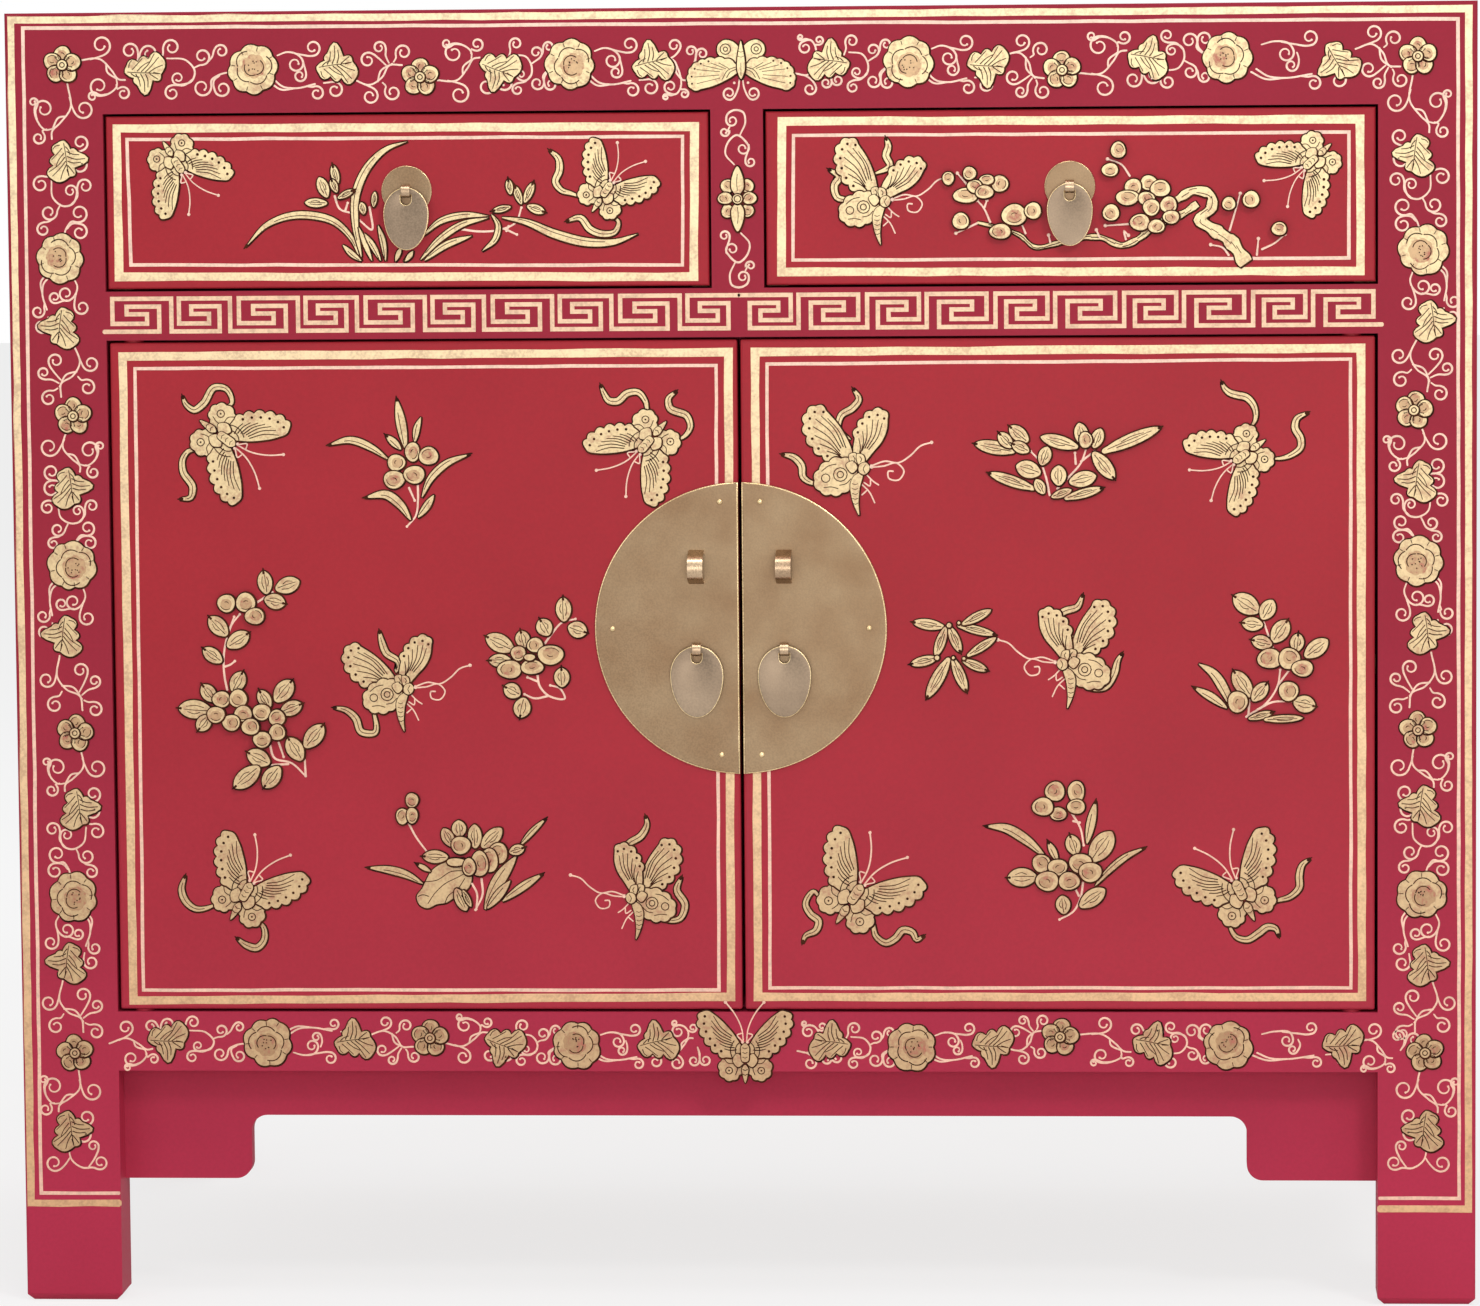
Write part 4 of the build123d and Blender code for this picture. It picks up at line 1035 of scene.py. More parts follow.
def ruled_pair(paint, outer, inner, wide=6.0, thin=2.4):
    """A broad line with a thin one inside it."""
    ruled(paint, outer, wide, BAND)
    ruled(paint, inner, thin, VINE)


case_painting = Paint(case_front - skin)
outer_case = [(-391, 61.5), (-446.4, 61.5), (-445.8, 796), (444.6, 795.2), (445.6, 60), (391, 60)]
inner_case = [(-391, 67.8), (-440, 67.8), (-438.4, 791), (438, 789), (440, 66.6), (391, 66.6)]
ruled(case_painting, outer_case, 5.0, BAND, closed=False)
ruled(case_painting, inner_case, 2.5, VINE, closed=False)
case_painting.piece("case_line_painting", "carcass")

top_painting = Paint(case_front - skin)
border(top_painting, [
    ("B", -414.5, 768.3), ("L", -365.1, 765, 5, 1), ("P", -296.6, 764.8), ("L", -246.7, 765, 0, -1),
    ("B", -193.8, 759.1), ("L", -146.4, 765, -14, 1), ("P", -101.6, 766.3), ("L", -52.7, 765, 6, -1),
    ("-", -24, 762), ("-", 30, 762), ("L", 58.5, 765, 180, 1), ("P", 104.9, 765.8), ("L", 151.7, 765, 4, 1),
    ("B", 198.5, 760.2), ("L", 248.9, 766, -18, -1), ("P", 299.1, 766.6), ("L", 365.7, 766, -52, 1),
    ("B", 413.9, 766.8)], across=0.87, flips=(1, 1, 1, -1, -1))
butterfly_head_down(top_painting, 3, 764.2)
top_painting.piece("top_rail_painting", "carcass")

# The motifs of a post from the top rail down, and the curls under its last leaf.
post_motifs = "-LPLBLPLBLPLBL"
post_flips = (1, -1, 1, 1, -1, -1)
columns = {
    "left": [(-414.5, 768.3), (-414.9, 711.3), (-417.9, 649.4), (-416.8, 608.8), (-411.5, 552.6),
             (-415.4, 510), (-413.8, 459.9), (-418.3, 418.3), (-413.8, 356.1), (-413.9, 310.6),
             (-416.8, 253.8), (-419.4, 214.3), (-417.3, 156), (-422.5, 108.8)],
    "right": [(413.9, 766.8), (414, 708.8), (417.7, 649.4), (421.4, 608.1), (411.7, 552.2),
              (415.4, 510.7), (414.3, 460.6), (418, 417.8), (414.4, 356.4), (418.1, 311.5),
              (416.9, 255.4), (418.2, 213.3), (418.9, 157), (420.2, 110.4)]}
foot_curls = [([(0, -12), (2, -20), (9, -25), (16, -25)], (20, -21.6, 4.6, 1)),
              ([(1.4, -18), (-3, -24)], (-9, -22, 5.4, -1)),
              ([(12, -25.4), (17, -18)], (15.6, -11.4, 3.6, 1))]
for hand, side in (("left", 1), ("right", -1)):
    painting = Paint(case_front - skin)
    motifs = []
    for number, (letter, (x, z)) in enumerate(zip(post_motifs, columns[hand])):
        lean = side if number % 4 == 3 else -side
        motifs.append((letter, x, z, -90, lean) if letter == "L" else (letter, x, z))
    border(painting, motifs, across=0.86, flips=[side * flip for flip in post_flips])
    painting.settle()
    x, z = columns[hand][-1]
    for points, (across, up, radius, way) in foot_curls:
        path = [complex(x + side * a, z + b) for a, b in points]
        curl(painting, path, complex(x + side * across, z + up), radius, way * side)
    painting.piece(hand + "_post_painting", "carcass")

bottom_painting = Paint(case_front - skin)
border(bottom_painting, [
    ("-", -404, 158), ("L", -360.7, 165.5, 5, 1), ("P", -296.3, 163), ("L", -243.9, 162.4, 0, -1),
    ("B", -195.2, 165.6), ("L", -150.4, 163.2, -14, 1), ("P", -103.8, 161.3), ("L", -55.3, 161.4, 6, -1),
    ("-", -26, 160), ("-", 27, 160), ("L", 54.9, 161.5, 180, 1), ("P", 103.7, 160.3),
    ("L", 151.8, 162.9, 4, 1), ("B", 195, 166.7), ("L", 250.3, 161.7, -18, -1), ("P", 298.2, 161.8),
    ("L", 366.9, 163.1, 10, 1), ("-", 408, 158)], across=0.68, flips=(1, 1, -1, 1, -1))
bottom_painting.settle()
butterfly_above(bottom_painting, 0.5, 158, 90, 0.86)
bottom_painting.piece("bottom_rail_painting", "carcass")

# The divider: a flower with pointed upper and lower petals, and one scroll turned about it. A curl is
# its path, and its middle, radius and hand; places are in millimetres from the flower's middle.
flower = complex(0.2, 683.4)
divider_curls = [
    ([(-1.77, 20.78), (-7.2, 27.57), (-5.16, 35.04), (-0.41, 38.84)],
     ((3.53, 30.69), 4.07, -1)),
    ([(7.33, 33), (6.52, 28.93)], ((8.15, 22.54), 3.26, 1)),
    ([(1.9, 38.97), (5.16, 47.26), (3.8, 52.69), (-1.09, 54.05), (-5.84, 51.33)],
     ((-2.99, 47.67), 3.67, 1)),
    ([(-4.35, 44.13), (-5.43, 41.15)], ((-7.6, 40.88), 2.99, -1))]
flower_petals = [(-6.11, 7.88, 4.07, 4.07), (6.11, 7.88, 3.8, 4.07), (-6.11, -7.47, 3.8, 4.07),
                 (6.11, -7.2, 3.8, 3.8), (-7.6, 0.41, 4.48, 3.53), (7.33, 0.41, 4.35, 3.67)]
flower_point = [(0, -2), (3.6, -6), (3.8, -11), (0, -20), (-3.8, -11), (-3.6, -6)]
flower_rib = [(0, -5), (0.4, -10), (0, -15)]
divider_painting = Paint(case_front - skin)
for turn in (0, 180):
    for points, (middle, radius, way) in divider_curls:
        curl(divider_painting, place(points, flower, turn), place([middle], flower, turn)[0], radius, way)
for x, z, wide, high in flower_petals:
    petal(divider_painting, flower.real + x, flower.imag + z, wide, high)
for turn in (180, 0):
    divider_painting.shape(curve(place(flower_point, flower, turn), True, 1.3))
    divider_painting.stroke(curve(place(flower_rib, flower, turn)), 0.55, INK)
divider_painting.shape([flower + cmath.rect(3.1, math.radians(a)) for a in range(0, 360, 30)])
ring_mark(divider_painting, flower, 2.0)
divider_painting.piece("drawer_divider_painting", "carcass")

# The key fret: one unit as places along and down its cell, and the same mirrored on the left. Every
# second cell is wider.
fret_unit = [(0, 0), (0.87, 0), (0.87, 0.76), (0.36, 0.76), (0.36, 0.47), (0.66, 0.47), (0.66, 0.24),
             (0.18, 0.24), (0.18, 1), (1, 1)]
fret_top, fret_deep, fret_middle, fret_width = 624.6, 20.2, 0.6, 3.1
fret_cells = [36.4, 42.0] * 5
fret_painting = Paint(case_front - skin)
for side in (1, -1):
    line = []
    begin = 0.0
    for wide in fret_cells:
        for along, down in fret_unit:
            line.append(complex(fret_middle + side * (begin + along * wide), fret_top - down * fret_deep))
        begin += wide
    fret_painting.settle()
    fret_painting.stroke(line, fret_width, FRET)
fret_painting.piece("key_fret_painting", "carcass")


# ---------------------------------------------------------------- sprays of the drawers and doors

# Places in millimetres on the fronts. A blade is its width, whether its point is dark, and its places from
# the root; a leaf is its root, its point, its width and whether it is dark at the point; a petal is its
# middle and its half width and half height.
sweet_orchid = {
    "blades": [
        (6, 1, [(-205.5, 531), (-208, 545), (-211, 562.5)]),
        (4, 0, [(-200, 535.5), (-198.5, 544.5), (-196, 551)]),
        (4.5, 1, [(-208.5, 531), (-212.5, 535), (-218, 540)]),
        (4.5, 1, [(-216.5, 525), (-226.5, 532), (-240, 537), (-253.5, 534)]),
        (4.5, 1, [(-196, 501.5), (-190.5, 513), (-181, 522), (-166, 528)]),
        (5.5, 1, [(-203, 487.5), (-209.5, 497), (-217.5, 503), (-231.5, 501.5)]),
        (4.5, 0, [(-198.5, 489), (-193.5, 495.5), (-188.5, 503)])],
    "petals": [
        (-201.5, 529.5, 4.5, 6), (-191.5, 527, 6, 5.5), (-211.5, 523, 5.5, 5), (-213, 512.5, 6.5, 5.5),
        (-200.5, 515.5, 6.5, 5.5)],
    "twigs": [
        [(-198.5, 510), (-198.5, 499.5), (-200, 490), (-205.5, 483.5)], [(-204, 507.5), (-200.5, 499.5)]],
}
climbing_rose = {
    "leaves": [
        (-293, 442, -295, 456.5, 9, 1), (-287.5, 445, -272.5, 450, 10, 0),
        (-294.5, 439, -281.5, 436, 9.5, 1), (-318, 416.5, -329, 428, 10, 1),
        (-318, 409.5, -304.5, 418, 10, 1), (-321.5, 400, -333, 408.5, 8.5, 1),
        (-328.5, 370, -349, 371.5, 11.5, 1), (-326, 375.5, -334, 386, 9, 1),
        (-315, 381.5, -308.5, 394, 9.5, 1), (-329.5, 367, -337, 357.5, 9, 1),
        (-288.5, 375.5, -278, 388.5, 11, 1), (-292, 371.5, -298.5, 382.5, 8, 1),
        (-285.5, 368.5, -272, 374, 9, 1), (-292.5, 337, -306.5, 344, 10.5, 1),
        (-299, 335, -315, 322, 11, 1), (-286.5, 335, -296.5, 322, 10.5, 1),
        (-272.5, 339, -281, 353, 10.5, 1), (-270.5, 347, -259, 361, 10.5, 1)],
    "petals": [
        (-318, 436.5, 5.5, 5.5), (-306, 437, 6, 6), (-300.5, 428.5, 6, 5), (-322, 377, 5.5, 5),
        (-311.5, 377.5, 5.5, 5.5), (-308.5, 368, 5.5, 5), (-316, 362.5, 5.5, 5), (-325.5, 367.5, 5.5, 5),
        (-297, 369, 5.5, 5), (-287.5, 365.5, 5, 5), (-287.5, 356.5, 5, 5), (-297, 352, 5.5, 5),
        (-304, 360, 5.5, 5)],
    "twigs": [
        [(-318.5, 382.5), (-320, 390.5), (-320.5, 401), (-319, 412), (-314.5, 424), (-310, 429.5)],
        [(-300.5, 436), (-289.5, 443)], [(-320, 397), (-316, 398.5), (-313.5, 400.5)],
        [(-292.5, 348.5), (-290, 340.5), (-279, 337), (-270.5, 329)], [(-287, 350), (-284, 341)],
        [(-270.5, 329), (-271, 341.5)], [(-281, 336.5), (-294, 335.5), (-303.5, 333.5)],
        [(-317, 418.5), (-313.5, 428)]],
}
cherry_plum = {
    "leaves": [
        (-140.5, 407, -157.5, 415.5, 11, 1), (-142, 400.5, -156, 400.5, 8, 1),
        (-133.5, 408.5, -136, 419, 9, 1), (-118.5, 416, -124, 426, 10, 1),
        (-109, 424.5, -109.5, 439.5, 9.5, 1), (-106.5, 421.5, -95, 417.5, 10, 1),
        (-110.5, 384, -111, 396, 9.5, 1), (-136.5, 379, -146.5, 384.5, 9.5, 1),
        (-134, 377.5, -137, 365, 10.5, 1)],
    "petals": [
        (-137.5, 405, 4.5, 4.5), (-127, 410, 5, 4.5), (-143, 395, 7.5, 5.5), (-117.5, 404, 8, 6),
        (-129, 396.5, 7, 4.5), (-130.5, 402.5, 3.5, 2)],
    "twigs": [
        [(-121, 411), (-117, 416.5), (-110, 424), (-102, 426)],
        [(-126, 392.5), (-124.5, 384.5), (-119, 378.5), (-109, 377), (-112, 383), (-118, 385)],
        [(-119, 378.5), (-128, 377), (-134, 379.5)], [(-126, 387.5), (-132, 390)]],
}
tea_sprig = {
    "leaves": [
        (169, 528, 144, 533, 8, 1), (167, 530.5, 159, 539.5, 7.5, 1), (177, 534, 165.5, 543.5, 8.5, 1),
        (177.5, 528, 167, 533, 7, 1), (185, 519.5, 189, 531, 8, 0), (184.5, 514.5, 169.5, 519.5, 10.5, 0),
        (181, 505, 152.5, 515, 6.5, 1), (186.5, 502, 181.5, 511, 6.5, 0),
        (195.5, 507, 195.5, 519.5, 9.5, 0), (202, 509, 218.5, 513, 9.5, 0), (191, 500, 203.5, 504.5, 5, 0),
        (199, 499, 222.5, 505.5, 5.5, 1), (207.5, 530.5, 184.5, 537, 8, 0),
        (211, 531.5, 208, 545.5, 8.5, 0), (217, 530, 221.5, 542, 7.5, 0), (222, 527.5, 258, 542.5, 7.5, 1),
        (216.5, 527.5, 229.5, 511, 9, 1)],
    "petals": [
        (212, 535, 4, 5)],
    "twigs": [
        [(190, 501), (187.5, 513), (184, 522), (178.5, 528)],
        [(194.5, 505), (202.5, 513), (209.5, 521.5), (212.5, 530)], [(209, 521.5), (217.5, 528)],
        [(206, 520), (205.5, 527)]],
}
bamboo = {
    "leaves": [
        (125, 420.5, 105.5, 423.5, 6.5, 1), (126, 420.5, 119.5, 402, 6, 0), (128, 421, 135, 404.5, 6, 1),
        (133, 421.5, 156.5, 415.5, 5, 1), (136, 422, 154, 431, 5.5, 0), (121, 401.5, 104, 397.5, 6, 1),
        (128, 401.5, 114, 376.5, 7.5, 1), (130, 401.5, 138.5, 380.5, 6.5, 1),
        (136, 400, 151.5, 393.5, 5.5, 1), (139, 402.5, 157, 414, 5, 0)],
    "petals": [
        (128, 421.5, 1.5, 1.5), (134, 423, 1, 1), (120.5, 401.5, 1.5, 1.5), (130.5, 401.5, 1, 1),
        (137, 401, 1, 1)],
}
peach_sprig = {
    "blades": [
        (6, 0, [(302, 368.5), (296.5, 381), (289, 392), (280.5, 397.5)]),
        (5, 1, [(298, 370), (289, 376.5), (277.5, 383)])],
    "leaves": [
        (317.5, 429, 302, 439, 12, 1), (319.5, 424.5, 326, 436.5, 9.5, 0), (320, 421, 307, 422.5, 8.5, 1),
        (326, 410.5, 335, 424, 10.5, 1), (325.5, 409, 313, 412, 8.5, 1), (340, 404.5, 341.5, 416, 8.5, 1),
        (345.5, 401.5, 359.5, 412, 10, 0), (338.5, 374, 352, 371, 10.5, 1), (312.5, 377, 302, 393, 10, 1),
        (313.5, 374.5, 322.5, 385.5, 8.5, 1), (311, 363.5, 326, 367.5, 4.5, 1),
        (320.5, 363, 344.5, 364, 4.5, 0)],
    "petals": [
        (324, 400.5, 7.5, 6), (336, 400.5, 6.5, 6.5), (344, 394.5, 6.5, 5), (335.5, 380.5, 6, 6),
        (304.5, 374, 6, 6.5)],
    "twigs": [
        [(309.5, 364.5), (322.5, 373.5), (329, 384), (330.5, 393.5)], [(326.5, 405.5), (319.5, 425.5)],
        [(329, 384), (336.5, 394)], [(316.5, 369), (325.5, 373.5), (338, 374)], [(311, 365.5), (312, 378)]],
}
narcissus = {
    "blades": [
        (5.5, 1, [(212, 286.5), (214.5, 299.5), (217.5, 313)]),
        (6, 1, [(186.5, 278.5), (174.5, 289), (162.5, 296), (149.5, 297.5)]),
        (4.5, 1, [(194, 275.5), (191, 282), (188, 288)]),
        (4, 1, [(217, 260.5), (225.5, 270), (236, 278.5), (247.5, 284)])],
    "leaves": [
        (214.5, 275.5, 227.5, 294, 13, 0), (205.5, 279.5, 201.5, 292, 9, 1),
        (181, 266, 163, 265.5, 11.5, 1), (198, 243, 196.5, 254.5, 9, 0), (207.5, 247.5, 223, 258.5, 10, 0)],
    "petals": [
        (192.5, 319, 6, 6), (205.5, 318.5, 5, 7), (205.5, 309.5, 5.5, 4.5), (194.5, 305, 5, 4),
        (185, 309.5, 6.5, 5.5), (184, 274.5, 5.5, 5.5), (194, 272, 6, 5), (208, 274.5, 7, 6),
        (214, 269, 7, 6), (187.5, 263.5, 7, 6), (201, 263.5, 6.5, 5.5)],
    "twigs": [
        [(202, 306.5), (208, 296), (210, 285.5)],
        [(209.5, 262.5), (208, 253), (203.5, 244.5), (195, 239.5)], [(203.5, 300.5), (207.5, 299.5)],
        [(207, 254), (205, 258)]],
}
plum_branch = {
    "petals": [
        (139.5, 684.5, 7.5, 4.5), (160.5, 691.5, 5, 5), (152.5, 694, 4.5, 3), (145, 690, 4.5, 4),
        (151, 686.5, 5.5, 4), (251, 691.5, 5, 4.5), (241.5, 689, 5, 5), (258, 688, 6, 5),
        (238, 682.5, 7, 4.5), (249.5, 682, 5, 4), (252.5, 676.5, 5, 5), (263, 678, 5, 5),
        (264.5, 670.5, 5, 4), (245.5, 667.5, 6, 5), (255.5, 665, 5, 4), (129, 695, 3.5, 4),
        (142, 698, 4, 4), (136.5, 669, 5, 5), (169, 672.5, 7.5, 6.5), (180.5, 675, 5, 5),
        (160.5, 662.5, 6.5, 4.5), (232.5, 711.5, 4.5, 5), (227.5, 699.5, 5, 4), (228, 673.5, 5, 5),
        (299.5, 678.5, 4, 4), (313, 681, 5, 5), (330, 663, 4.5, 4)],
    "twigs": [
        [(154.5, 668), (150, 677.5), (146.5, 681.5)], [(140.5, 691), (134.5, 698)],
        [(151, 677), (152.5, 681.5)], [(146.5, 667.5), (133.5, 661.5)], [(176, 661), (173.5, 667)],
        [(241, 666.5), (224.5, 665.5)], [(239.5, 695.5), (234.5, 702.5), (226, 706)],
        [(300, 662), (303.5, 674), (306.5, 684.5)], [(319.5, 650.5), (327, 654), (333.5, 659.5)],
        [(316.5, 647), (317.5, 657)], [(299.5, 647), (296, 651.5), (288.5, 653.5)],
        [(221, 658.5), (219, 663)], [(237, 657), (236, 662), (238.5, 659.5)], [(191, 655.5), (190, 660)]],
}
orchid_left = {
    "blades": [
        (4.5, 1, [(-231.5, 647), (-237.5, 661), (-248.5, 671.5), (-261, 675), (-274.5, 675),
         (-289.5, 669.5), (-303, 656)]),
        (5, 0, [(-231.5, 649.5), (-235, 669.5), (-234.5, 687), (-227.5, 703.5), (-215, 715.5),
         (-202, 720)]),
        (3.5, 0, [(-231.5, 647), (-237, 651), (-243, 657)]),
        (3, 0, [(-225, 647), (-229.5, 658.5), (-233, 668)]),
        (3.5, 0, [(-219.5, 647), (-224.5, 656.5), (-229.5, 664)]),
        (3.5, 0, [(-216.5, 647), (-218, 658.5), (-221, 669)]),
        (3, 0, [(-210.5, 646.5), (-208.5, 651.5), (-207, 655)]),
        (3, 0, [(-204.5, 646.5), (-201.5, 650), (-199.5, 653)])],
    "leaves": [
        (-252, 686, -257, 698.5, 7, 0), (-245.5, 694, -248.5, 706, 5, 1), (-252, 682.5, -266, 683, 5.5, 0),
        (-246, 689, -249.5, 697.5, 4.5, 1), (-245.5, 685.5, -235.5, 690.5, 4, 1),
        (-229.5, 675.5, -231, 683, 4.5, 0), (-223.5, 680, -222.5, 689.5, 3.5, 0)],
    "twigs": [
        [(-247.5, 687), (-244.5, 679), (-236, 676)], [(-241, 678), (-239.5, 682.5)],
        [(-226, 680), (-225, 666), (-232.5, 672)]],
}
orchid_right = {
    "blades": [
        (4, 0, [(-193, 662.5), (-182.5, 671), (-169, 674.5), (-152.5, 674)]),
        (4, 0, [(-195, 647.5), (-183, 660), (-169, 669), (-152.5, 673)]),
        (4, 0, [(-192.5, 647), (-180, 656), (-163, 662)]),
        (5.5, 0, [(-144.5, 673), (-131, 670.5), (-111.5, 662.5), (-91.5, 657.5), (-76.5, 657.5),
         (-61, 662.5)]),
        (3.5, 0, [(-151, 675), (-147, 668.5), (-148.5, 660.5), (-157, 652.5)]),
        (2.5, 0, [(-199.5, 652), (-202, 649.5), (-205.5, 646.5)])],
    "leaves": [
        (-132.5, 681, -136.5, 692.5, 4.5, 1), (-139, 687, -140.5, 696.5, 4.5, 1),
        (-130.5, 682, -125, 694.5, 5, 1), (-139, 679.5, -150.5, 677, 4, 1), (-129, 680, -118, 676, 5.5, 1)],
    "twigs": [
        [(-170, 666), (-158, 664.5), (-146, 665.5), (-136, 670), (-132.5, 679)],
        [(-143, 666), (-135.5, 662.5)], [(-142, 664.5), (-140.5, 667.5)]],
}
lotus = {
    "blades": [
        (5, 1, [(-198.5, 262), (-208.5, 267.5), (-219, 270.5), (-233, 272)]),
        (3, 1, [(-193.5, 269.5), (-198, 272), (-202.5, 274.5)]),
        (3.5, 1, [(-138, 285.5), (-130.5, 294), (-121.5, 302.5)]),
        (8, 0, [(-160, 246), (-152.5, 262), (-140, 279.5)]),
        (5.5, 0, [(-158.5, 246.5), (-151.5, 255), (-144, 264)]),
        (5, 1, [(-149, 251), (-138, 259), (-124, 268)])],
    "leaves": [
        (-182.5, 278.5, -198.5, 279, 8, 1), (-179.5, 285, -185.5, 296.5, 7.5, 0),
        (-175, 291, -176, 301.5, 9, 0), (-165.5, 284, -166, 299, 8.5, 0),
        (-161.5, 284.5, -149, 296.5, 9, 0), (-144.5, 281.5, -135, 284.5, 6.5, 1),
        (-178, 259, -171.5, 245, 7.5, 0), (-173.5, 258, -168.5, 247.5, 3.5, 0)],
    "petals": [
        (-204.5, 314, 4, 4.5), (-210.5, 304, 4, 5), (-204.5, 304.5, 3.5, 5), (-174.5, 286, 6, 5.5),
        (-151.5, 281, 6, 6.5), (-157, 276.5, 5.5, 7.5), (-163, 274.5, 5.5, 8), (-177.5, 275.5, 6, 2.5),
        (-169.5, 272.5, 4, 5.5)],
    "twigs": [
        [(-207, 300), (-203, 292), (-195.5, 281.5)], [(-168, 262), (-165, 256), (-165.5, 246)],
        [(-162, 265), (-161.5, 255), (-166, 245.5)]],
}

lotus_leaf = [(-172, 277.5), (-179.5, 276.5), (-187.5, 274), (-193, 270), (-196.5, 264), (-199, 259),
              (-202.5, 254), (-200.5, 248.5), (-196, 246.5), (-190, 249), (-184, 250), (-178.5, 253.5),
              (-173.5, 256), (-169, 261), (-168, 268.5), (-170, 275.5)]
lotus_veins = [[(-195.5, 249.5), (-191, 256), (-184.5, 262), (-176.5, 266), (-172, 268.5)],
               [(-199, 263), (-190, 264), (-180.5, 269.5), (-173.5, 270)],
               [(-185, 249.5), (-183, 254), (-176.5, 259), (-172.5, 265)],
               [(-201.5, 254), (-198.5, 255), (-195, 254)]]
plum_trunk = [(310, 642), (299.5, 656.5), (289, 663.5), (282, 669), (289, 676), (289, 683), (278.5, 686.5),
              (268, 681)]
plum_bough = [(280.5, 678.5), (271.5, 672.5), (263, 669), (254, 665.5), (245.5, 658), (235, 653.5),
              (221, 658.5), (205.5, 657.5), (195, 655), (181, 653), (172.5, 660), (165.5, 663), (146.5, 668)]


def bough(paint, points, wide, narrow):
    """A tapering, knobbly branch with the ink streaks of its bark."""
    knob, knob_step, streak_length = 0.16, 0.9, 4
    line = curve(points, step=1.8)
    last = len(line) - 1
    left, right = [], []
    for k, p in enumerate(line):
        along = line[min(k + 1, last)] - line[max(k - 1, 0)]
        knobs = brush.uniform(0.93, 1.07) * (1 + knob * math.sin(knob_step * k))
        half = (wide + (narrow - wide) * k / last) / 2 * knobs
        left.append(p - 1j * along / abs(along) * half)
        right.append(p + 1j * along / abs(along) * half)
    paint.shape(left + right[::-1])
    for k in range(3, last - streak_length, 3):
        shift = brush.uniform(-0.28, 0.28) * (wide + (narrow - wide) * k / last)
        paint.stroke([p + 1j * shift for p in line[k:k + streak_length]], fine, INK)


# The broad and the thin line of each drawer and door, by their corners.
drawer_front = corners("left_drawer_front")[0].y
drawer_lines = {
    "left": ([(-381.6, 729.2), (-25.8, 727.6), (-27, 636.1), (-381.6, 638.1)],
             [(-375.3, 722.4), (-33.2, 721.7), (-34, 643.2), (-374.1, 645.4)]),
    "right": ([(27.7, 730.3), (379, 729), (379.3, 636.9), (26.7, 638.5)],
              [(34.7, 721.7), (372.3, 721.2), (372.3, 644.9), (33.8, 645.8)])}
door_lines = {
    "left": ([(-380.3, 589.1), (-6.2, 589.8), (-8, 191.3), (-380.2, 188.8)],
             [(-372.7, 581.6), (-13.9, 581.6), (-15.4, 195.6), (-373.8, 195.4)]),
    "right": ([(10.1, 589.7), (379.6, 590.1), (380.4, 191.5), (8.7, 191.3)],
              [(17.4, 582.3), (373.3, 583.4), (373.6, 197.1), (16.2, 196.9)])}

left_drawer = Paint(drawer_front)
ruled_pair(left_drawer, *drawer_lines["left"])
spray(left_drawer, orchid_left)
spray(left_drawer, orchid_right)
butterfly_above(left_drawer, -343.2, 705.4, -58, 0.79)
butterfly_above(left_drawer, -79.3, 690.6, 56, 0.75, [
    [(-102, 687.5), (-108, 689.5), (-111.5, 694.5), (-109, 701.5), (-109.5, 708.5), (-115, 714)],
    [(-73, 670), (-75, 664), (-82.5, 662.5), (-90.5, 665.5), (-96.5, 672.5), (-105, 670.5)]])
left_drawer.piece("left_drawer_painting", "left_drawer")

right_drawer = Paint(drawer_front)
ruled_pair(right_drawer, *drawer_lines["right"])
right_drawer.settle()
bough(right_drawer, plum_bough, 4.2, 1.6)
bough(right_drawer, plum_trunk, 8.6, 4.4)
for line in plum_branch["twigs"]:
    right_drawer.stroke(curve(line), lambda t: 1.5 - 0.5 * t, VINE)
    right_drawer.dot(complex(*line[-1]), 1.2, VINE)
for args in plum_branch["petals"]:
    petal(right_drawer, *args)
butterfly_beside(right_drawer, 87.7, 681, 0.92, -1, 24, 8, [
    [(93.5, 703.5), (91, 709), (92.5, 715), (91, 720)],
    [(70, 681), (61, 684), (59.5, 691.5), (62.5, 696), (56, 701)]])
butterfly_above(right_drawer, 348.1, 702.3, -138, 0.77)
right_drawer.piece("right_drawer_painting", "right_drawer")

left_door = Paint(door_front - skin)
ruled_pair(left_door, *door_lines["left"])
for drawing in (sweet_orchid, climbing_rose, cherry_plum):
    spray(left_door, drawing)
left_door.settle()
left_door.shape(curve(lotus_leaf, True, 1.8))
for line in lotus_veins:
    left_door.stroke(curve(line), 0.7, INK)
spray(left_door, lotus)
butterfly_above(left_door, -315.3, 536.9, -36, 0.93, [
    [(-313, 560), (-316.5, 569), (-323, 570), (-331, 559.5), (-336.5, 556), (-341.5, 559.5),
     (-343.5, 564.5)],
    [(-335, 532.5), (-340.5, 530.5), (-344, 525.5), (-344, 518.5), (-338, 507.5), (-339.5, 502),
     (-346, 501)]])
butterfly_above(left_door, -58.5, 532.4, -132, 0.88, [
    [(-56.5, 550), (-57.5, 560), (-62, 565.5), (-68.5, 565), (-75, 560), (-80, 560.5), (-83, 565),
     (-85, 570)],
    [(-36, 537), (-30, 544.5), (-31.5, 550), (-43, 556.5), (-43.5, 561), (-38.5, 566)]])
butterfly_above(left_door, -307.8, 258.2, 60, 0.92, [
    [(-330, 248), (-341, 246.5), (-346.5, 251), (-349, 258), (-346.5, 267)],
    [(-299, 236), (-298, 226.5), (-302.5, 222), (-309, 223.5), (-315, 228)]])
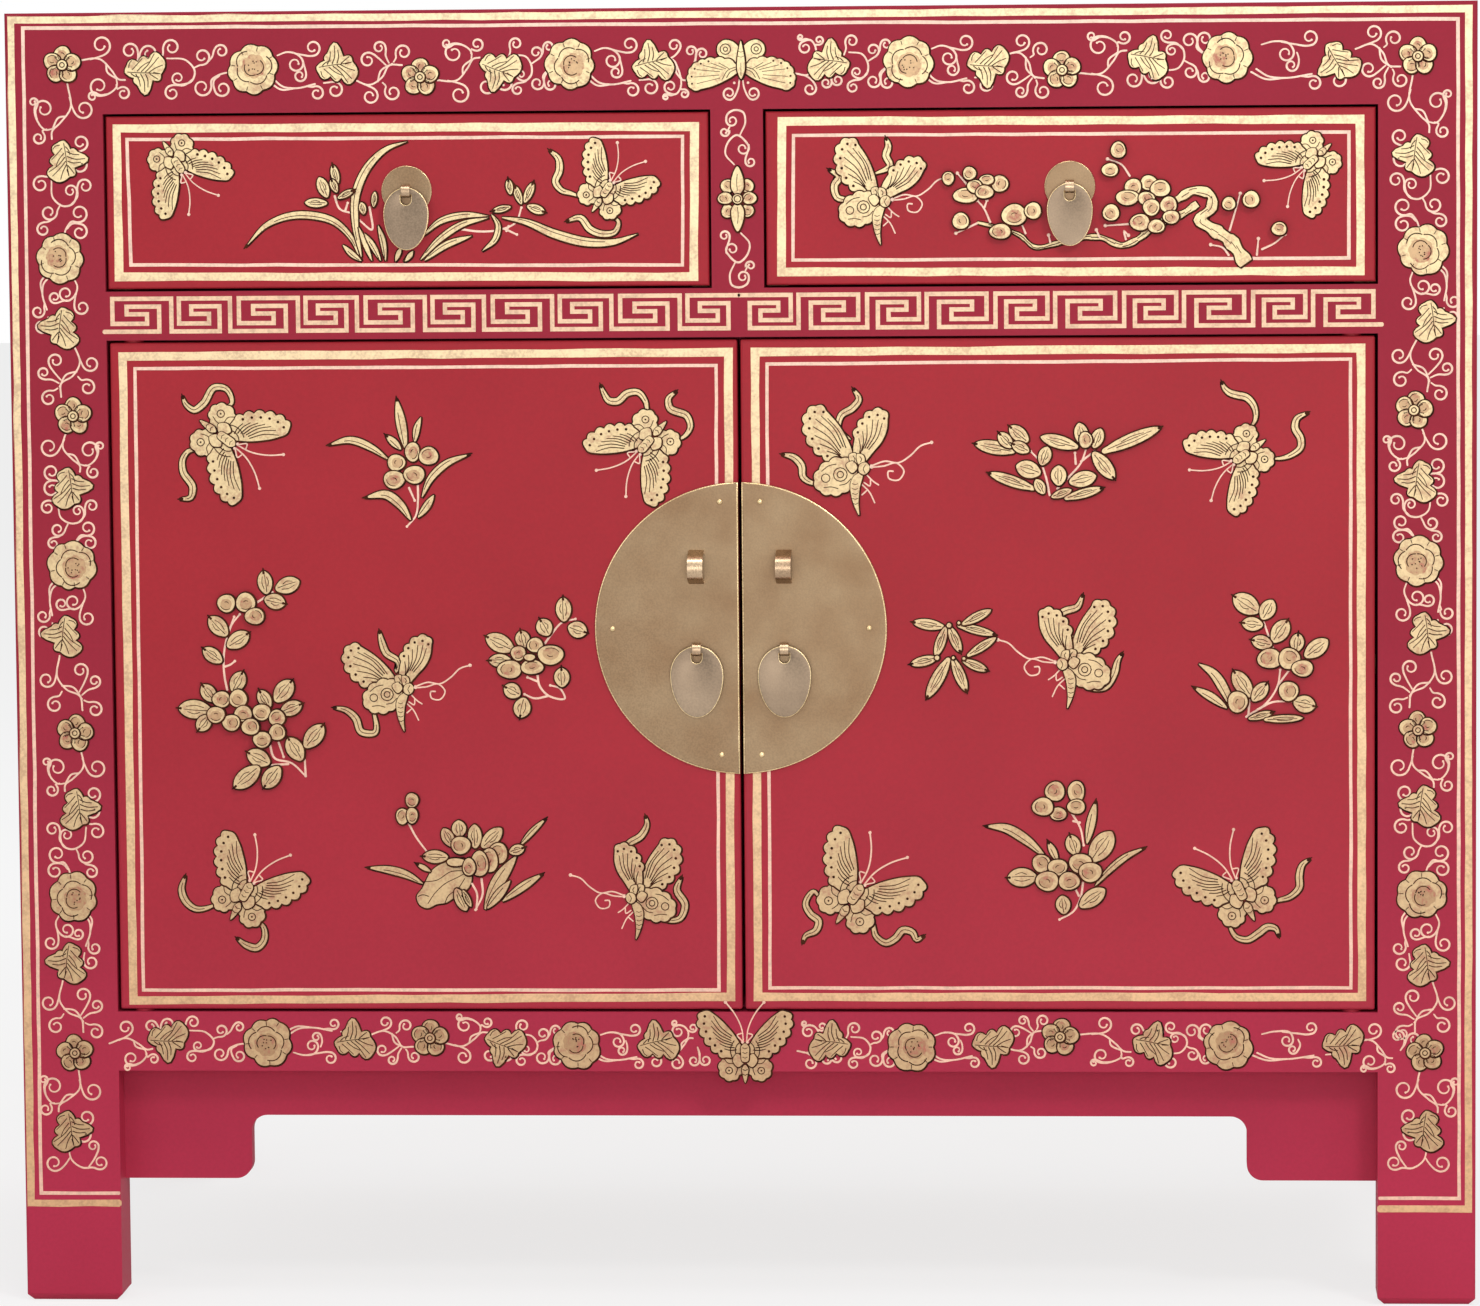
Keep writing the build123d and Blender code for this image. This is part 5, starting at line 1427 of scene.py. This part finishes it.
butterfly_beside(left_door, -208.5, 382.8, 0.92, -1, 2, -16, [
    [(-213.5, 394), (-212, 399.5), (-219.5, 405.5), (-222, 412), (-223.5, 419)],
    [(-228, 355.5), (-235.5, 356.5), (-239, 365), (-245, 370), (-252.5, 371.5)]])
butterfly_beside(left_door, -66.7, 252.8, 0.9, 1, -7, 5, [
    [(-73, 281), (-71, 286), (-62.5, 292), (-59, 299.5), (-60, 304)],
    [(-48.5, 240), (-39.5, 240), (-36, 248.5), (-41, 258.5), (-38, 266)]])
left_door.piece("left_door_painting", "left_door")

right_door = Paint(door_front - skin)
ruled_pair(right_door, *door_lines["right"])
for drawing in (tea_sprig, bamboo, peach_sprig, narcissus):
    spray(right_door, drawing)
right_door.settle()
butterfly_above(right_door, 305.7, 523.5, -145, 0.83, [
    [(315.5, 547), (314.5, 555.5), (310, 560.5), (304, 562), (299.5, 563.5), (296.5, 566.5), (295, 570)],
    [(330, 523), (338, 525.5), (343, 530), (343, 535), (339.5, 542), (340.5, 547), (347.5, 551)]])
butterfly_above(right_door, 70.5, 256.7, 56, 1.0, [
    [(43.5, 257), (38.5, 249), (41.5, 243), (46.5, 238.5), (45, 233), (38, 229), (36.5, 225)],
    [(79, 238), (82, 229), (88, 225), (94, 228), (98.5, 233), (104.5, 231.5), (107, 227), (111.5, 229.5)]])
butterfly_above(right_door, 304.7, 259.1, 116, 0.96, [
    [(328, 251), (337, 254), (342, 259.5), (342, 266.5), (344, 273.5), (348.5, 277)],
    [(300.5, 238), (303, 229), (310, 227), (317, 231), (323, 235), (327.5, 234), (329.5, 229)]])
butterfly_beside(right_door, 200.1, 397.2, 0.95, 1, 0, 6, [
    [(191, 418), (192.5, 425), (199, 430), (206.5, 432.5), (210, 440)],
    [(214, 383), (223, 383), (229, 391.5), (231.5, 400), (234, 404)]])
butterfly_beside(right_door, 73.4, 517.8, 1.0, -1, 0, 0, [
    [(61, 543), (62.5, 550.5), (70, 555.5), (73.5, 560.5), (70, 567)],
    [(46, 509), (39, 513), (38, 520), (33.5, 525), (26, 527)]])
right_door.piece("right_door_painting", "right_door")


# ---------------------------------------------------------------- brass fittings

def lofted(name, rings, finishes, bright, capped, body, node):
    """A brass piece through rings of places, each at its own depth. Faces that leave a bright ring take
    the second finish, a brighter brass that is partly rubbed metal and partly a painted highlight. A capped
    piece is closed with a face at both ends, another runs back to its start."""
    points, faces, indices = [], [], []
    size = len(rings[0][0])
    for line, depth in rings:
        points += [(p.real, depth, p.imag) for p in line]
    count = len(rings)
    for number in range(count - 1 if capped else count):
        a, b = number * size, (number + 1) % count * size
        for k in range(size):
            before = (k - 1) % size
            faces.append([a + before, a + k, b + k, b + before])
            indices.append(1 if number in bright else 0)
    if capped:
        faces += [list(range(size))[::-1], list(range((count - 1) * size, count * size))]
        indices += [0, 0]
    piece = mesh_piece(name, points, faces, finishes, indices, body)
    piece.data.polygons.foreach_set("use_smooth", [True] * len(faces))
    piece.data.update()
    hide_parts(node)


def rounded_rim(line, back, front, round_by, flat):
    """Rings from the back of a plate, round its front edge and a little way in over its face."""
    rings = [(line, back), (line, front + round_by)]
    for angle in (22.5, 45, 67.5, 90):
        turn = math.radians(angle)
        rings.append((grow(line, round_by * (math.cos(turn) - 1)), front + round_by * (1 - math.sin(turn))))
    return rings + [(grow(line, -round_by - flat), front)]


def lock_plate(hand, side):
    """Half of the round lock plate, with its rim filed round."""
    node = hand + "_door_lock_plate"
    low, high = corners(node)
    middle, radius = (low.z + high.z) / 2, max(-low.x, high.x)
    gap = side * (low.x if side > 0 else high.x)
    reach = math.asin(gap / radius)
    arc = [cmath.rect(radius, reach - math.pi / 2 + (math.pi - 2 * reach) * k / 72) for k in range(73)]
    straight = [complex(gap, arc[-1].imag * (1 - k / 6)) for k in range(1, 12)]
    half_disc = [complex(side * p.real, p.imag + middle) for p in arc + straight]
    rings = rounded_rim(circled(half_disc), high.y, low.y, round_by=0.8, flat=0.8)
    # The rounded rim takes the brighter brass: partly rubbed metal, partly a painted highlight.
    lofted(hand + "_dressed_lock_plate", rings, [brass, rubbed_brass], (2, 3, 4), True, hand + "_door", node)


# Rings of a nail's domed head, as shares of its radius and of how far it stands over the plate.
dome_profile = ((1.0, -0.4), (1.0, 0.1), (0.86, 0.55), (0.55, 0.88))


def plate_nails(hand, side):
    """The three nails of half the lock plate, near its top, side and bottom, with domed heads."""
    nail_ring, head_radius, around = 79.0, 1.7, 16
    node = hand + "_door_plate_nails"
    plate_low, plate_high = corners(hand + "_door_lock_plate")
    middle, lift = (plate_low.z + plate_high.z) / 2, plate_low.y - corners(node)[0].y
    points, faces = [], []
    for angle in (9, 90, 171):
        turn = math.radians(angle)
        x, z = side * nail_ring * math.sin(turn), middle + nail_ring * math.cos(turn)
        begin = len(points)
        for share, depth in dome_profile:
            for k in range(around):
                spot = cmath.rect(head_radius * share, 2 * math.pi * k / around)
                points.append((x + spot.real, plate_low.y - lift * depth, z + spot.imag))
        points.append((x, plate_low.y - lift, z))
        for row in range(len(dome_profile) - 1):
            a, b = begin + row * around, begin + (row + 1) * around
            faces += [[a + (k - 1) % around, a + k, b + k, b + (k - 1) % around] for k in range(around)]
        last = begin + (len(dome_profile) - 1) * around
        faces += [[last + (k - 1) % around, last + k, len(points) - 1] for k in range(around)]
        faces.append(list(range(begin, begin + around))[::-1])
    # The nail heads are all in the brighter brass: partly rubbed metal, partly a painted highlight.
    domes = mesh_piece(hand + "_domed_plate_nails", points, faces, [rubbed_brass], [0] * len(faces),
                       hand + "_door")
    domes.data.polygons.foreach_set("use_smooth", [True] * len(faces))
    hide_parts(node)


def pull_plate(hand):
    """The small round plate behind a drawer's tag, with its rim filed round."""
    node = hand + "_drawer_pull_plate"
    low, high = corners(node)
    centre, radius = complex((low.x + high.x) / 2, (low.z + high.z) / 2), (high.x - low.x) / 2
    disc = [centre + cmath.rect(radius, 2 * math.pi * k / 48) for k in range(48)]
    rings = rounded_rim(disc, high.y, low.y, round_by=0.6, flat=0.8)
    # The rounded rim takes the brighter brass: partly rubbed metal, partly a painted highlight.
    lofted(hand + "_dressed_pull_plate", rings, [brass, rubbed_brass], (2, 3), True, hand + "_drawer", node)


def pull_tag(hand, kind, shoulder):
    """The egg-shaped tag that hangs by an arched hole: widest at its shoulder, measured from its top, with
    its edges and the hole's edges rounded."""
    hole_radius, hole_straight, bar, around, nearly_level = 3.2, 3.0, 4.6, 72, 0.001
    node = f"{hand}_{kind}_pull_tag"
    low, high = corners(node)
    x, wide, long = (low.x + high.x) / 2, (high.x - low.x) / 2, high.z - low.z
    egg_middle, hole_middle = complex(x, high.z - shoulder), complex(x, high.z - bar - hole_straight)
    outer, hole = [], []
    for angle in (2 * math.pi * k / around for k in range(around)):
        tall = shoulder if math.sin(angle) > 0 else long - shoulder
        outer.append(egg_middle + complex(wide * math.cos(angle), tall * math.sin(angle)))
        ray = outer[-1] - hole_middle
        ray /= abs(ray)
        to_side = hole_radius / max(abs(ray.real), nearly_level)
        to_top = hole_straight / max(ray.imag, nearly_level)
        hole.append(hole_middle + ray * (min(to_side, to_top) if ray.imag > 0 else hole_radius))
    edge = [(grow(outer, -0.35), high.y)] + rounded_rim(outer, high.y - 0.3, low.y, round_by=0.55, flat=0.7)
    inner = [(grow(hole, 0.45), low.y), (grow(hole, 0.12), low.y + 0.12)]
    inner += [(hole, low.y + 0.45), (hole, high.y)]
    # The rounded edges of the tag and its hole take the brighter brass: partly rubbed metal, partly a
    # painted highlight.
    lofted(f"{hand}_{kind}_dressed_tag", edge + inner, [tag_brass, rubbed_brass], (3, 4, 5, 8, 9), False,
           f"{hand}_{kind}_tag", node)


for hand, side in (("left", -1), ("right", 1)):
    lock_plate(hand, side)
    plate_nails(hand, side)
    pull_plate(hand)
    pull_tag(hand, "door", shoulder=18.0)
    pull_tag(hand, "drawer", shoulder=16.0)


# ---------------------------------------------------------------- camera, floor and light

# The camera stands a little to the right of the middle and looks down slightly. Millimetres and degrees.
eye = Vector((249.1, -4213.9, 764.6))
yaw, pitch, roll = (math.radians(angle) for angle in (-3.597, -5.166, 0.478))
ahead = Vector((math.sin(yaw) * math.cos(pitch), math.cos(yaw) * math.cos(pitch), math.sin(pitch)))
level = Vector((math.cos(yaw), -math.sin(yaw), 0))
plumb = ahead.cross(level)
right = math.cos(roll) * level + math.sin(roll) * plumb
down = -math.sin(roll) * level + math.cos(roll) * plumb
lens = bpy.data.cameras.new("view")
lens.sensor_width = 36.0
lens.lens = 158.1
view = bpy.data.objects.new("view", lens)
view.matrix_world = Matrix.Translation(eye * MM) @ Matrix((right, -down, -ahead)).transposed().to_4x4()
bpy.context.scene.collection.objects.link(view)
bpy.context.scene.camera = view


def pale_floor():
    """Smooth matt white board: it takes the shadow, and shows nearly white to the eye."""
    share_of_white = 0.75
    material, tree, _ = start("matt_white_board")
    matt = add(tree, "ShaderNodeBsdfDiffuse", {"Color": linear("#F6F6F6")})
    glow = add(tree, "ShaderNodeEmission", {"Color": linear("#FFFFFF"), "Strength": 1.0})
    path = add(tree, "ShaderNodeLightPath")
    seen = add(tree, "ShaderNodeMath", {
        0: path.outputs["Is Camera Ray"], 1: path.outputs["Is Glossy Ray"]}, operation="ADD")
    share = add(tree, "ShaderNodeMath", {0: seen.outputs["Value"], 1: share_of_white}, operation="MULTIPLY")
    both = add(tree, "ShaderNodeMixShader", {
        0: share.outputs["Value"], 1: matt.outputs["BSDF"], 2: glow.outputs["Emission"]})
    close(tree, both.outputs["Shader"])
    return material


half_floor = 14.0
floor_corners = [(x * half_floor, y * half_floor, 0) for x, y in ((-1, -1), (1, -1), (1, 1), (-1, 1))]
board = bpy.data.meshes.new("floor")
board.from_pydata(floor_corners, [], [(0, 1, 2, 3)])
board.materials.append(pale_floor())
floor = bpy.data.objects.new("floor", board)
bpy.context.scene.collection.objects.link(floor)

# The room lights the object softly, and is white where it is seen, mirrored or looked through.
room_light = 0.45
world = bpy.data.worlds.new("soft_room")
world.use_nodes = True
bpy.context.scene.world = world
sky = world.node_tree
sky.nodes.clear()
path = add(sky, "ShaderNodeLightPath")
seen = add(sky, "ShaderNodeMath", {
    0: path.outputs["Is Camera Ray"], 1: path.outputs["Is Glossy Ray"]}, operation="MAXIMUM")
through = add(sky, "ShaderNodeMath", {
    0: seen.outputs["Value"], 1: path.outputs["Is Transmission Ray"]}, operation="MAXIMUM")
strength = add(sky, "ShaderNodeMapRange", {
    "Value": through.outputs["Value"], "To Min": room_light, "To Max": 1.0})
room = add(sky, "ShaderNodeBackground", {
    "Color": linear("#FFFFFF"), "Strength": strength.outputs["Result"]})
add(sky, "ShaderNodeOutputWorld", {"Surface": room.outputs["Background"]})


def soft_box(name, at, aim, size, power):
    """A square studio lamp that looks at one point. Metres and watts."""
    lamp = bpy.data.lights.new(name, "AREA")
    lamp.shape = "SQUARE"
    lamp.size = size
    lamp.energy = power
    holder = bpy.data.objects.new(name, lamp)
    holder.location = at
    holder.rotation_euler = (Vector(aim) - Vector(at)).to_track_quat("-Z", "Y").to_euler()
    bpy.context.scene.collection.objects.link(holder)


middle = (0.0, 0.0, 0.4)
soft_box("key_lamp", (1.7, -2.6, 2.7), middle, 0.7, 35.0)
soft_box("fill_lamp", (-2.6, -3.0, 1.8), middle, 2.2, 13.0)
soft_box("low_lamp", (0.4, -3.4, 0.5), (0.0, 0.0, 0.1), 1.2, 18.5)
soft_box("top_lamp", (-0.2, -1.0, 2.6), (0.0, -0.25, 0.4), 0.7, 9.0)
soft_box("back_lamp", (0.6, 2.6, 2.8), middle, 2.0, 30.0)

bpy.context.scene.view_settings.view_transform = "Standard"
